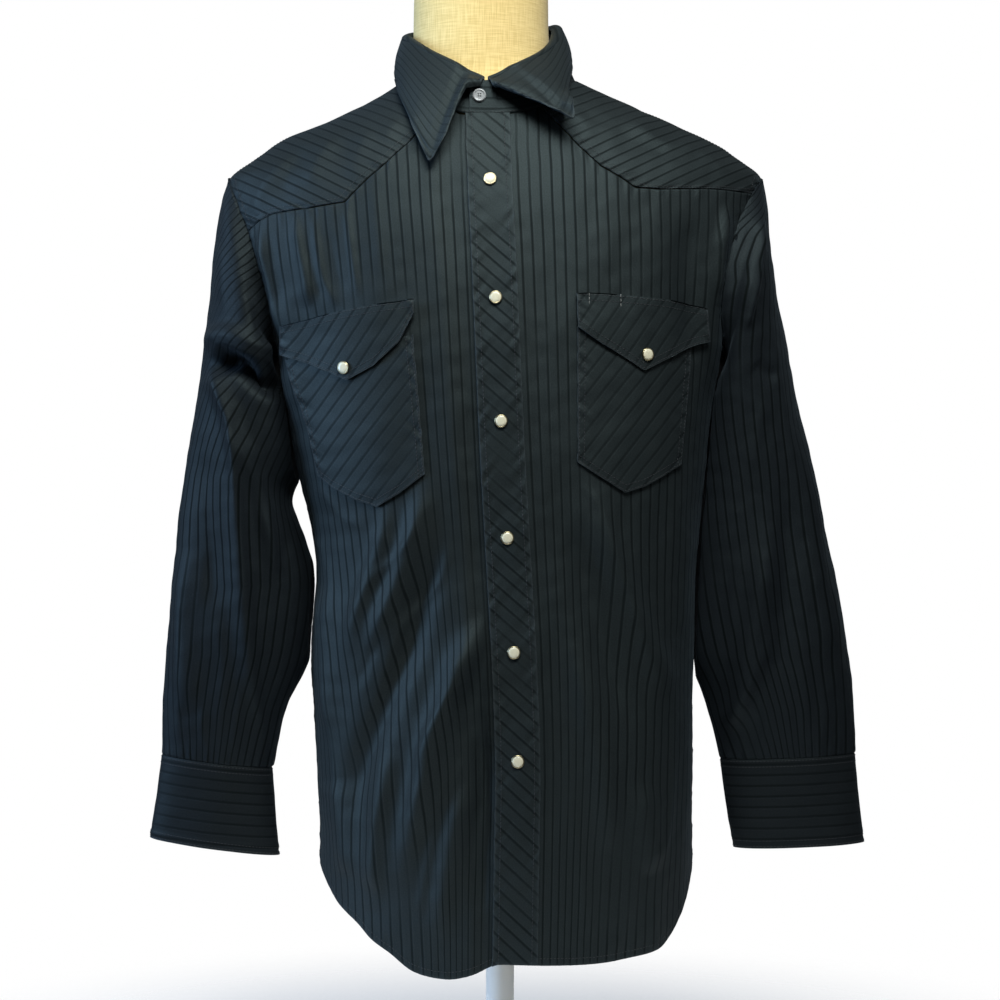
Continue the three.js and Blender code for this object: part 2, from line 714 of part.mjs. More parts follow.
function sleeve(side) {
  const surface = sleeveSurface(side);
  const turns = armholeTurns(side).slice(0, -1);
  const rows = stretches([0, 0.3, 7], [0.3, 1, 14]);
  const start = 0.004;
  const places = turns.map((turn) => rows.map((v) => [turn, Math.max(v, start)]));
  cloth(`sleeve_${sideName[side]}`, places, surface, { round: true });
}

// The cuff is a strip whose outer end laps over its inner end behind the outer edge of the sleeve.
const CUFF_LAP = 318;
const CUFF_OVER = 34;
const CUFF_WALL = 1.4;
function cuffSurface(side) {
  const rows = withStation(CUFF[side]);
  const base = (turn, along) => ringPoint(stationAt(rows, along), turn);
  return (turn, along, lift) => liftedTube(base, { front: [], back: [] }, turn, along, lift, side);
}
const cuffSpiral = (turn) => {
  const lapped = CUFF_LAP + 360 - CUFF_OVER;
  return (CUFF_WALL + TOUCH) * smooth(turn, lapped - 30, lapped);
};

function cuff(side) {
  const surface = cuffSurface(side);
  const turns = steps(CUFF_LAP, CUFF_LAP + 360 + CUFF_OVER - 20, 30);
  const places = turns.map((turn) => steps(0, 1, 3).map((along) => [turn, along]));
  cloth(`cuff_${sideName[side]}`, places, surface, {
    high: cuffSpiral,
    low: (turn) => cuffSpiral(turn) - CUFF_WALL,
  });
}

// The strip that finishes the slit of each sleeve, up from the cuff at the back.
function sleevePlacket(side) {
  const surface = sleeveSurface(side);
  const [from, to] = [296, 322];
  const places = steps(from, to, 2).map((turn) => steps(0.76, 0.99, 6).map((along) => [turn, along]));
  cloth(`sleeve_placket_${sideName[side]}`, places, surface, { high: LAYER + PATCH, low: LAYER });
}

// Front strip down the wearer's left front, over the centre front.
function placket() {
  const across = [-1, 0, 1];
  const rows = steps(0, 1, 34);
  const places = across.map((f) =>
    rows.map((v) => {
      const z = mix(hemAt(0) + 0.5, necklineAt(0) - 0.5, v);
      return [angleOf(rowAt(BODY, "z", z).mid + f * (PLACKET_HALF - 0.4), z), z];
    }),
  );
  cloth("front_placket", places, body, { high: PLACKET_LIFT + PATCH, low: PLACKET_LIFT });
}

// Patches that lie on a front, from rows of columns: each column is a bottom and a top point in x and z.
function onFront(name, columns, rows, lift) {
  const places = columns.map(({ x, low, top, topX = x }) =>
    steps(0, 1, rows).map((v) => {
      const [px, z] = [mix(x, topX, v), mix(low, top, v)];
      return [angleOf(px, z), z];
    }),
  );
  cloth(name, places, body, { high: lift + PATCH, low: lift });
}

// Pockets with a pointed foot, and their flaps with a pointed front, as seen from the front.
const POCKET = {
  [RIGHT]: table("x low topX top", [
    [-157, 562, -179, 664],
    [-142, 551, -160, 666],
    [-122, 541, -138, 669],
    [-104, 535, -114, 673],
    [-84, 547, -93, 677],
    [-63, 563, -73, 681],
  ]),
  [LEFT]: table("x low topX top", [
    [65, 573, 65, 688],
    [85, 560, 87, 687],
    [106, 547, 110, 686],
    [122, 552, 127, 684],
    [138, 561, 145, 683],
    [156, 572, 165, 681],
  ]),
};
const FLAP = {
  [RIGHT]: table("x low topX top", [
    [-182, 669, -182, 694],
    [-164, 660, -163, 697],
    [-145, 651, -144, 701],
    [-129, 643, -127, 704],
    [-106, 655, -106, 707],
    [-84, 675, -86, 709],
    [-72, 699, -72, 711],
  ]),
  [LEFT]: table("x low topX top", [
    [65, 687, 64, 716],
    [84, 674, 84, 716],
    [104, 662, 104, 715],
    [121, 651, 121, 714],
    [140, 661, 140, 713],
    [158, 671, 158, 711],
    [176, 679, 175, 708],
  ]),
};

// A cap turned about the normal of the surface that it sits on.
function disc(name, place, surface, lift, radius, height, material) {
  const [foot, above] = [surface(...place, lift), surface(...place, lift + 1)];
  const outline = [
    [0, 0],
    [radius, height * 0.2],
    [radius, height * 0.6],
    [radius * 0.84, height],
    [0, height * 0.85],
  ].map(([r, h]) => new THREE.Vector2(r, h));
  const mesh = add(name, new THREE.LatheGeometry(outline, 12), material);
  mesh.quaternion.setFromUnitVectors(new THREE.Vector3(0, 1, 0), above.sub(foot).normalize());
  mesh.position.copy(foot);
}

const FRONT_SNAP_Z = [814, 712, 607.5, 509, 412.5, 321];
const FLAP_SNAP = { [RIGHT]: [-131, 654], [LEFT]: [123.5, 665] };
const CUFF_SNAPS = [0.2, 0.5, 0.8];

function snaps() {
  const onPlacket = PLACKET_LIFT + PATCH + TOUCH;
  FRONT_SNAP_Z.forEach((z, i) => {
    const place = [angleOf(rowAt(BODY, "z", z).mid + 0.01, z), z];
    disc(`snap_front_${i + 1}`, place, body, onPlacket, SNAP_RADIUS, SNAP_HEIGHT, PEARL);
  });
  for (const side of [RIGHT, LEFT]) {
    const [x, z] = FLAP_SNAP[side];
    const lift = FLAP_LIFT + PATCH + TOUCH;
    disc(`snap_flap_${sideName[side]}`, [angleOf(x, z), z], body, lift, SNAP_RADIUS, SNAP_HEIGHT, PEARL);
    CUFF_SNAPS.forEach((along, i) => {
      const place = [CUFF_LAP + 360, along];
      const over = CUFF_WALL + 2 * TOUCH + 0.3;
      const name = `snap_cuff_${sideName[side]}_${i + 1}`;
      disc(name, place, cuffSurface(side), over, SNAP_RADIUS, SNAP_HEIGHT, PEARL);
    });
  }
}

// Collar: an upright stand on the neckline and a leaf that turns down from its top.
const STAND_WALL = 1.6;
const LEAF_WALL = 1.6;
const collarAt = (angle) => rowAt(COLLAR, "angle", angle);
const COLLAR_MIDDLE = new THREE.Vector3(-13, -4, 0);

const outwards = (p) => p.clone().sub(COLLAR_MIDDLE).setZ(0).normalize();

function standPoint(angle, up, lift) {
  const row = collarAt(clamp(angle, -357, -3));
  const wrapped = angle < -180 ? angle + 360 : angle;
  const foot = bodyBase(wrapped, necklineAt(wrapped));
  foot.addScaledVector(outwards(foot), -STAND_INSIDE);
  foot.z += STAND_RAISED;
  let top = new THREE.Vector3(row.foldX, row.foldY, row.foldZ);
  // past the ends of the leaf the stand runs on round the neck
  if (angle > -3 || angle < -357) top = foot.clone().add(new THREE.Vector3(0, 4, 28));
  const point = foot.clone().lerp(top, up);
  return point.addScaledVector(outwards(point), lift);
}
const STAND_INSIDE = 0.9;
const STAND_RAISED = 0.7;
const STAND_START = 8;
const STAND_END = -366;
const standSpiral = (angle) => (STAND_WALL + TOUCH) * smooth(-angle, 330, 352);

function collarStand() {
  const angles = steps(STAND_START, STAND_END, 38);
  const places = angles.map((angle) => steps(0, 1, 2).map((up) => [angle, up]));
  cloth("collar_stand", places, standPoint, {
    high: standSpiral,
    low: (angle) => standSpiral(angle) - STAND_WALL,
  });
}

// across runs from the inner side of the stand's top, over the roll, to the free edge
const ROLL = 0.2;
function leafPoint(angle, across, lift) {
  const row = collarAt(angle);
  const fold = new THREE.Vector3(row.foldX, row.foldY, row.foldZ);
  const edge = new THREE.Vector3(row.edgeX, row.edgeY, row.edgeZ);
  const out = outwards(fold);
  if (across <= ROLL) {
    const turn = (across / ROLL) * Math.PI;
    const radius = STAND_WALL / 2 + 1.2 + lift;
    const point = fold.addScaledVector(out, standSpiral(angle) - STAND_WALL / 2 - Math.cos(turn) * radius);
    point.z += Math.sin(turn) * radius - 1.5 * (1 - across / ROLL) + 0.8;
    return point;
  }
  const f = (across - ROLL) / (1 - ROLL);
  const point = leafPoint(angle, ROLL, 0).lerp(edge, f);
  const normal = outwards(point).setZ(0.35).normalize();
  point.addScaledVector(normal, LEAF_BOW * Math.sin(Math.PI * f));
  while (point.z < 940 && share(point) < 1 + (LEAF_OFF * f) / 80) point.z += 0.5;
  return point.addScaledVector(normal, lift);
}
const LEAF_BOW = 3;
const LEAF_OFF = 3.5; // least distance between the leaf and the yokes
function collarLeaf() {
  const angles = steps(-14, -354, 40);
  const across = [0, ROLL / 2, ROLL, 0.4, 0.6, 0.8, 1];
  const places = angles.map((angle) => across.map((f) => [angle, f]));
  cloth("collar_leaf", places, leafPoint, { high: LEAF_WALL, low: 0 });
}

// Dress form, pole and base
function ringsSolid(rings) {
  const around = rings[0].length;
  const points = rings.flat();
  const triangles = [];
  for (let r = 0; r + 1 < rings.length; r++) {
    for (let i = 0; i < around; i++) {
      const [a, b] = [r * around + i, r * around + ((i + 1) % around)];
      triangles.push([a, b, b + around], [a, b + around, a + around]);
    }
  }
  const last = (rings.length - 1) * around;
  const middle = (ring) => ring.reduce((sum, p) => sum.add(p), new THREE.Vector3()).divideScalar(around);
  points.push(middle(rings[0]), middle(rings[rings.length - 1]));
  for (let i = 0; i < around; i++) {
    const next = (i + 1) % around;
    triangles.push([points.length - 2, next, i], [points.length - 1, last + i, last + next]);
  }
  return closed(points, triangles);
}

function dressForm() {
  const angles = steps(0, 360, 30).slice(0, -1);
  const oval = ({ z, mid, half, front, back }) =>
    angles.map((angle) => {
      const [s, c] = [Math.sin(angle * DEGREE), Math.cos(angle * DEGREE)];
      return new THREE.Vector3(mid + half * s, -(c > 0 ? front : back) * c, z);
    });
  add("form_torso", ringsSolid(FORM.map(oval)), LINEN);

  const pole = new THREE.CylinderGeometry(POLE_RADIUS, POLE_RADIUS, FORM_BOTTOM - BASE_THICK - 0.6, 24);
  pole.rotateX(Math.PI / 2);
  pole.translate(0, 0, (FORM_BOTTOM + BASE_THICK) / 2);
  add("form_pole", pole, WHITE_PAINT);

  const socket = POLE_RADIUS + 0.3;
  const outline = [
    [0, 0],
    [BASE_RADIUS - 2, 0],
    [BASE_RADIUS, 2],
    [BASE_RADIUS, BASE_THICK - 5],
    [BASE_RADIUS - 5, BASE_THICK],
    [BOSS_RADIUS + 4, BASE_THICK],
    [BOSS_RADIUS, BASE_THICK + 5],
    [BOSS_RADIUS - 3, BOSS_TOP],
    [socket, BOSS_TOP],
    [socket, BASE_THICK],
    [0, BASE_THICK],
  ].map(([r, h]) => new THREE.Vector2(r, h));
  const base = new THREE.LatheGeometry(outline, 48);
  base.rotateX(Math.PI / 2);
  add("form_base", base, WHITE_PAINT);
}

const POCKET_LIFT = LAYER;
const FLAP_LIFT = POCKET_LIFT + PATCH + LAYER;

dressForm();
back();
backYoke();
for (const side of [RIGHT, LEFT]) {
  front(side);
  frontYoke(side);
  sleeve(side);
  sleevePlacket(side);
  cuff(side);
  onFront(`pocket_${sideName[side]}`, POCKET[side], 8, POCKET_LIFT);
  onFront(`flap_${sideName[side]}`, FLAP[side], 4, FLAP_LIFT);
}
placket();
collarStand();
collarLeaf();
snaps();
const buttonLift = standSpiral(-362) + TOUCH;
disc("collar_button", [-362.6, 0.5], standPoint, buttonLift, COLLAR_BUTTON_RADIUS, SNAP_HEIGHT, GREY_BUTTON);

export default shirt;
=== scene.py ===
"""A western snap shirt on a limbless dress form: the looks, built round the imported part.

Shapes are worked out in millimetres, in the part's own frame (+Z up, the shirt's front towards -Y),
and turned into metres when a mesh is made.
"""
import math
from types import SimpleNamespace

import bmesh
import bpy
import numpy as np
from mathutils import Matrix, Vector


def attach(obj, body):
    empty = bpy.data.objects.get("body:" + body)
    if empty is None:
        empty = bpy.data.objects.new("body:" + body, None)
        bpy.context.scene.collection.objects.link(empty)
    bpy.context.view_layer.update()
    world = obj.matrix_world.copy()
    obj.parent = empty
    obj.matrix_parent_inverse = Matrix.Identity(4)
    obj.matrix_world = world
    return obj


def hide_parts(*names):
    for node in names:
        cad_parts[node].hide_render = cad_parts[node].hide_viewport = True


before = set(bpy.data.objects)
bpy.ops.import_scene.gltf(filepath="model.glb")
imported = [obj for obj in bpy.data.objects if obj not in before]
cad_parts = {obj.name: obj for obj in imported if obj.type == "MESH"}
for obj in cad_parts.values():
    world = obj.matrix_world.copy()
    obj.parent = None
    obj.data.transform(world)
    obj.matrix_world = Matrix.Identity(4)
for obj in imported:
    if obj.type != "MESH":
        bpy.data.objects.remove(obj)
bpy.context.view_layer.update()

MM = 0.001
RIGHT = -1  # the wearer's right side is at -X
LEFT = 1
SIDE_NAME = {RIGHT: "right", LEFT: "left"}

# Cloth and seams, as in the solids
CLOTH_THICK = 0.8
PATCH_THICK = 0.9
SEAM = 0.22  # each panel stops this far short of its seam line
LAYER = 1.2  # gap below a piece that is sewn on a curved panel
TOUCH = 0.35
PATCH = 1.0
PLACKET_LIFT = 0.6
PLACKET_HALF = 19.5
POCKET_LIFT = LAYER
FLAP_LIFT = POCKET_LIFT + PATCH + LAYER
COLLAR_BUTTON_RADIUS = 5.8

# Armholes
UNDERARM_Z = 668
SHOULDER_Z = 829
SHOULDER_SEAM = 14  # degrees round the armhole from its top to the shoulder seam

# Dress form and its stand
BASE_RADIUS = 150
BASE_THICK = 14
BOSS_RADIUS = 24
BOSS_TOP = 40
POLE_RADIUS = 12.5
FORM_BOTTOM = 232

# Cloth: the stripes' pitch, the weave's, and how the surface moves
STRIPE_PITCH = 9.6
WEAVE_PITCH = 0.7
SLACK_BROAD = 0.45
SLACK_FINE = 0.16
PUCKER_HIGH = 0.45
PUCKER_FAR = 3.5  # distance from a seam at which its puckers are strongest
GROOVE_WIDE = 1.1
WEAR_WIDE = 0.9
FOLD_POWER = 2
CREASE_POWER = 1.7  # lower than a fold's, which gives a sharper crest

# Studio
AMBIENT = 0.04  # strength of the light from all round
FLOOR_RADIUS = 800
CAMERA_PLACE = (0, -2.1, 0.541)
LENS = 84
SENSOR_WIDTH = 36
# Each light's place, the point that it faces, its size, power and colour
LIGHTS = {
    "overhead": ((0.1, -1.0, 1.85), (0, 0, 0.8), (0.9, 0.5), 26, (0.97, 1.0, 0.98)),
    "window": ((-2.2, -0.36, 1.1), (0, 0, 0.5), (0.6, 1.5), 42, (0.46, 0.68, 1.0)),
    "fill": ((1.9, -1.7, 1.6), (0, 0, 0.6), (1.2, 1.2), 2, (1.0, 0.98, 0.93)),
}


def table(columns, rows):
    """Named columns from rows of plain numbers."""
    return dict(zip(columns.split(), np.array(rows, float).T))


# Sections of the shirt's body. z: height; mid: x of the centre front; right and left: x of the sides;
# front and back: depth before and behind the middle; square: 2 for an ellipse, more for squarer.
BODY = table("z mid right left front back square", [
    [110, 12, -161, 171, 141, 152, 2.25],
    [238, 14, -161, 172, 139, 148, 2.25],
    [315, 15, -165, 173, 137, 145, 2.25],
    [405, 12, -169, 173, 135, 141, 2.25],
    [495, 7, -166, 177, 133, 138, 2.3],
    [585, 2, -185, 186, 134, 136, 2.3],
    [675, -2, -198, 195, 132, 135, 2.3],
    [720, -4, -212, 201, 128, 134, 2.3],
    [765, -6, -232, 217, 122, 130, 2.2],
    [800, -8, -243, 231, 115, 122, 2.1],
    [829, -9, -243, 235, 107, 113, 2.05],
    [845, -10, -222, 216, 101, 106, 2],
    [862, -10, -196, 189, 95, 99, 2],
    [880, -11, -153, 148, 87, 91, 2],
    [900, -12, -111, 104, 80, 83, 2],
    [918, -12, -88, 66, 75, 77, 2],
    [945, -12, -86, 61, 72, 73, 2],
])

# Height of the hem round the body, by angle from the centre front, towards the wearer's left.
HEM = table("angle z", [
    [-180, 137], [-150, 146], [-128, 168], [-108, 203], [-90, 222], [-71, 208], [-59, 191],
    [-49, 178], [-43, 166], [-36, 155], [-29, 142], [-19, 137], [-12, 141], [-5, 150], [0, 150],
    [20, 149], [34, 151], [49, 156], [55, 164], [63, 181], [74, 202], [90, 222], [108, 203],
    [128, 168], [150, 146], [180, 137],
])

# Height of the neckline seam, by angle from the centre front.
NECKLINE = table("angle z", [
    [-180, 933], [-130, 929], [-90, 916], [-75, 913], [-55, 908], [-40, 901], [-30, 894],
    [-20, 886], [-10, 878], [0, 875], [10, 878], [20, 886], [30, 895], [40, 903], [55, 910],
    [75, 915], [90, 918], [130, 930], [180, 933],
])

# The front yoke seams, from the neckline to the armhole.
YOKE_SEAM = {
    RIGHT: table("x z", [
        [-42, 882], [-76, 852], [-97, 831], [-133, 797], [-163, 793], [-197, 790], [-226, 778],
    ]),
    LEFT: table("x z", [
        [25, 882], [64, 850], [86, 829], [116, 810], [137, 809], [181, 812], [204, 812],
    ]),
}

# The back yoke's seam: a point in the middle of the back.
BACK_YOKE_DROP = 40
BACK_YOKE_Z = 790

# The sleeves and cuffs. outerX, outerZ: the outer edge seen from the front; innerX, innerZ: the edge
# next to the body; front and back: depth before and behind the middle.
TUBE = "outerX outerZ innerX innerZ front back"
SLEEVE = {
    RIGHT: table(TUBE, [
        [-242, 829, -196, 668, 50, 58],
        [-249, 806, -200, 657, 60, 66],
        [-256, 770, -192, 643, 64, 70],
        [-260, 728, -184, 622, 62, 68],
        [-265, 684, -176, 598, 58, 65],
        [-271, 636, -176, 570, 55, 62],
        [-281, 582, -187, 541, 52, 58],
        [-289, 522, -174, 504, 50, 54],
        [-294, 468, -162, 462, 48, 50],
        [-300, 405, -170, 404, 44, 45],
        [-303, 355, -192, 352, 37, 37],
        [-304, 313, -205, 301, 29, 27],
    ]),
    LEFT: table(TUBE, [
        [234, 829, 195, 668, 50, 58],
        [239, 806, 199, 657, 60, 66],
        [242, 770, 192, 643, 64, 70],
        [248, 728, 184, 622, 62, 68],
        [257, 684, 178, 598, 58, 65],
        [266, 636, 174, 572, 55, 62],
        [278, 582, 171, 544, 52, 58],
        [290, 522, 167, 506, 50, 54],
        [303, 462, 164, 462, 48, 50],
        [314, 400, 168, 404, 44, 45],
        [318, 355, 186, 357, 37, 37],
        [319, 314, 198, 309, 29, 27],
    ]),
}
CUFF = {
    RIGHT: table(TUBE, [
        [-304, 313, -205, 301, 29, 27],
        [-309, 276, -202, 262, 26, 25],
        [-315, 238, -198, 222, 25, 24],
    ]),
    LEFT: table(TUBE, [
        [319, 314, 198, 309, 29, 27],
        [323, 274, 203, 269, 26, 25],
        [328, 234, 210, 229, 25, 24],
    ]),
}

# Where the front yoke seam meets each armhole, in degrees from the armhole's top, and how far the
# armhole cuts into the front and the back, in degrees of the body's section.
ARMHOLE = {
    RIGHT: SimpleNamespace(yoke=69, back_yoke=58, front_cut=24, back_cut=22),
    LEFT: SimpleNamespace(yoke=38, back_yoke=58, front_cut=26, back_cut=22),
}

# Folds: the x and z of each fold's line as seen from the front, its half-width and how far it stands out.
# The folds follow those of the solids; the creases are finer, with a sharper crest.
FRONT_FOLDS = [
    ([[-60, 556], [-78, 497], [-92, 457], [-112, 410]], 10, 8),
    ([[-93, 537], [-103, 495], [-116, 461], [-136, 393]], 9, 6.5),
    ([[-52, 500], [-67, 463], [-80, 414], [-105, 355], [-124, 305], [-126, 254]], 12, -10),
    ([[-9, 440], [-33, 404], [-46, 366], [-58, 332], [-67, 287], [-84, 220]], 11, 13),
    ([[-12, 404], [-24, 366], [-16, 300], [-22, 250], [-16, 190]], 9, -7),
    ([[-93, 330], [-104, 262], [-110, 200]], 10, 6),
    ([[-30, 300], [-44, 240], [-52, 172]], 9, 5),
    ([[-150, 470], [-152, 400], [-146, 330]], 10, 5),
    ([[-206, 790], [-196, 738], [-182, 670], [-176, 600]], 13, 8),
    ([[-178, 786], [-160, 708]], 10, 3),
    ([[200, 800], [190, 748], [184, 700], [182, 620]], 12, 8),
    ([[168, 790], [162, 730], [164, 660]], 12, -4),
    ([[76, 548], [110, 451], [146, 370]], 13, 7),
    ([[60, 520], [86, 430], [112, 350]], 12, -6),
    ([[64, 420], [84, 330], [92, 240]], 12, 5),
    ([[30, 440], [36, 340], [34, 240]], 12, -4),
    ([[120, 300], [132, 220]], 12, 5),
    ([[-140, 300], [-132, 215]], 11, 5),
]
BACK_FOLDS = [
    ([[-120, 740], [-126, 560], [-110, 380], [-112, 200]], 18, 9),
    ([[-82, 700], [-84, 520], [-70, 330], [-72, 180]], 16, -7),
    ([[-40, 560], [-34, 380], [-36, 170]], 18, 7),
    ([[8, 620], [14, 400], [10, 170]], 16, -7),
    ([[54, 600], [60, 400], [56, 170]], 18, 8),
    ([[100, 720], [102, 520], [98, 330], [100, 190]], 17, -7),
    ([[140, 740], [142, 560], [136, 380], [136, 210]], 16, 7),
]
SLEEVE_FRONT_FOLDS = [
    ([[-256, 656], [-232, 660], [-210, 646], [-188, 634]], 8, -14),
    ([[-264, 678], [-241, 687], [-216, 677], [-192, 666]], 9, 8),
    ([[-258, 660], [-247, 643], [-235, 606], [-232, 537], [-226, 440], [-218, 350]], 9, 7),
    ([[-236, 606], [-219, 568], [-206, 525], [-198, 470]], 8, 6),
    ([[-266, 600], [-262, 520], [-250, 440]], 12, -5),
    ([[-280, 500], [-280, 420], [-276, 350]], 11, 5),
    ([[229, 792], [213, 703]], 7, 4),
    ([[221, 786], [209, 764], [198, 724], [194, 684]], 8, -8),
    ([[240, 522], [219, 400], [206, 330]], 12, 6.5),
    ([[250, 560], [252, 460], [244, 370]], 12, -5),
    ([[262, 600], [282, 480], [292, 390]], 12, 5),
]
SLEEVE_BACK_FOLDS = [
    ([[-250, 640], [-225, 560], [-215, 480]], 13, -6),
    ([[-270, 520], [-262, 420], [-258, 340]], 13, 5),
    ([[250, 640], [226, 560], [214, 480]], 13, -6),
    ([[272, 520], [268, 420], [264, 340]], 13, 5),
]
FRONT_CREASES = [
    ([[-208, 792], [-202, 757], [-195, 732], [-190, 708], [-184, 688]], 3.5, 3.2),
    ([[-199, 778], [-192, 740], [-184, 705]], 5, -2.4),
    ([[-177, 790], [-172, 761], [-166, 733], [-163, 704]], 3.2, 2.4),
    ([[-161, 790], [-156, 755], [-150, 727], [-139, 706]], 3.2, 2.2),
    ([[-168, 770], [-160, 735], [-152, 712]], 4, -1.5),
    ([[-132, 793], [-127, 756], [-121, 714]], 3.5, 1.8),
    ([[-147, 775], [-141, 740], [-132, 712]], 5, -1.0),
    ([[-108, 812], [-104, 770], [-100, 725]], 5, 0.8),
    ([[198, 801], [194, 781], [189, 763], [186, 743], [183, 712]], 3.2, 3.4),
    ([[190, 800], [184, 765], [177, 735]], 6, -1.8),
    ([[-66, 533], [-78, 503], [-107, 473], [-124, 431]], 4, 1.8),
    ([[-42, 511], [-51, 473], [-85, 431], [-106, 376], [-123, 347]], 4, 1.6),
    ([[-17, 419], [-42, 376], [-59, 342], [-72, 304]], 4, 2.0),
    ([[-66, 470], [-98, 430], [-128, 372]], 5, -1.6),
    ([[-12, 380], [-14, 330], [-10, 290], [-9, 240], [-12, 190]], 6, -3.5),
    ([[-28, 330], [-50, 280], [-62, 230], [-70, 180]], 4, 1.6),
    ([[-96, 300], [-106, 250], [-104, 200]], 5, 1.4),
    ([[68, 553], [85, 533], [110, 448], [136, 380]], 4, 1.5),
    ([[92, 500], [112, 420], [128, 360]], 5, -1.2),
    ([[52, 470], [66, 390], [72, 320]], 6, 0.9),
    ([[60, 290], [70, 220], [74, 175]], 6, 1.1),
    ([[150, 330], [147, 270], [140, 232]], 4, 1.5),
    ([[-152, 392], [-146, 330], [-140, 270]], 4, 1.5),
    ([[-160, 560], [-140, 530], [-110, 515]], 5, 1.1),
    ([[-166, 520], [-150, 480], [-146, 430]], 5, 1.3),
    ([[168, 520], [160, 470], [158, 420]], 5, 1.2),
    ([[30, 600], [34, 540], [30, 480]], 7, 0.8),
    ([[-30, 640], [-36, 580], [-30, 540]], 7, 0.8),
]
YOKE_CREASES = [
    ([[-143, 857], [-158, 836], [-166, 811]], 8, 1.8),
    ([[-180, 844], [-198, 826], [-209, 808], [-214, 790]], 7, 2.2),
    ([[-168, 848], [-184, 824], [-190, 800]], 9, -1.6),
    ([[-112, 864], [-122, 842], [-128, 815]], 9, 1.4),
    ([[-90, 872], [-98, 848]], 8, 1.0),
    ([[100, 873], [118, 869], [133, 857], [147, 851], [170, 848], [187, 839], [200, 827]], 7, 1.9),
    ([[90, 860], [120, 850], [150, 838]], 9, -1.0),
    ([[60, 880], [74, 866], [80, 850]], 7, 0.9),
]
BACK_CREASES = [
    ([[-104, 720], [-108, 600], [-98, 470]], 6, 1.6),
    ([[-60, 610], [-56, 480], [-60, 330]], 6, -1.4),
    ([[-20, 530], [-16, 400], [-24, 260]], 7, 1.5),
    ([[30, 560], [36, 420], [28, 240]], 6, 1.4),
    ([[78, 640], [82, 480], [76, 320]], 6, -1.3),
    ([[122, 700], [124, 560], [116, 420]], 6, 1.6),
    ([[-150, 480], [-142, 400], [-140, 300]], 6, 1.4),
    ([[158, 470], [150, 380], [152, 290]], 6, 1.3),
    ([[-90, 760], [-60, 742], [-30, 735]], 7, 1.0),
    ([[96, 762], [64, 744], [36, 736]], 7, 1.0),
    ([[-180, 700], [-160, 660], [-150, 600]], 7, 1.8),
    ([[176, 700], [160, 650], [152, 590]], 7, 1.8),
]
SLEEVE_FRONT_CREASES = [
    ([[-259, 665], [-250, 673], [-240, 678], [-225, 672], [-210, 664], [-194, 656]], 4, 3.0),
    ([[-250, 662], [-236, 665], [-222, 655], [-206, 646], [-192, 638]], 5, -4.5),
    ([[-257, 662], [-247, 643], [-240, 622], [-235, 606], [-233, 560], [-232, 520]], 3.5, 2.6),
    ([[-236, 608], [-231, 541], [-224, 470], [-219, 382], [-206, 312]], 5, 2.0),
    ([[-214, 540], [-202, 500], [-196, 470]], 5, 1.6),
    ([[-268, 560], [-262, 500], [-266, 440]], 6, 1.4),
    ([[-280, 470], [-284, 410], [-282, 350]], 6, 1.4),
    ([[-248, 440], [-244, 390], [-250, 335]], 6, 1.3),
    ([[-228, 380], [-234, 340], [-238, 318]], 4, 1.6),
    ([[-262, 360], [-264, 335], [-262, 318]], 4, 1.5),
    ([[-284, 366], [-286, 340], [-284, 320]], 4, 1.4),
    ([[-246, 770], [-244, 735], [-240, 700]], 6, 1.4),
    ([[231, 800], [226, 750], [218, 708], [214, 690]], 3.4, 4),
    ([[238, 700], [244, 658], [252, 610], [260, 563]], 5, 1.8),
    ([[232, 640], [226, 600], [220, 560]], 6, 1.5),
    ([[240, 427], [222, 382], [202, 338]], 6, 2.2),
    ([[262, 430], [270, 380], [268, 330]], 6, 1.4),
    ([[214, 500], [206, 460], [204, 420]], 5, 1.6),
    ([[292, 470], [300, 420], [302, 370]], 6, 1.3),
    ([[232, 372], [236, 345], [234, 322]], 4, 1.5),
    ([[256, 366], [256, 340], [258, 322]], 4, 1.4),
    ([[286, 368], [288, 345], [284, 322]], 4, 1.5),
    ([[222, 660], [232, 654], [246, 650]], 6, -1.8),
]
SLEEVE_BACK_CREASES = [
    ([[-252, 700], [-240, 650], [-226, 610]], 6, 1.8),
    ([[-236, 520], [-232, 440], [-236, 360]], 6, 1.5),
    ([[-286, 480], [-288, 420], [-282, 350]], 6, 1.5),
    ([[-216, 440], [-222, 400], [-224, 350]], 5, 1.4),
    ([[-258, 372], [-260, 345], [-256, 320]], 4, 1.5),
    ([[252, 700], [240, 650], [226, 610]], 6, 1.8),
    ([[240, 520], [238, 440], [236, 360]], 6, 1.5),
    ([[292, 480], [298, 420], [296, 350]], 6, 1.5),
    ([[214, 440], [214, 400], [218, 350]], 5, 1.4),
    ([[256, 372], [260, 345], [258, 322]], 4, 1.5),
]

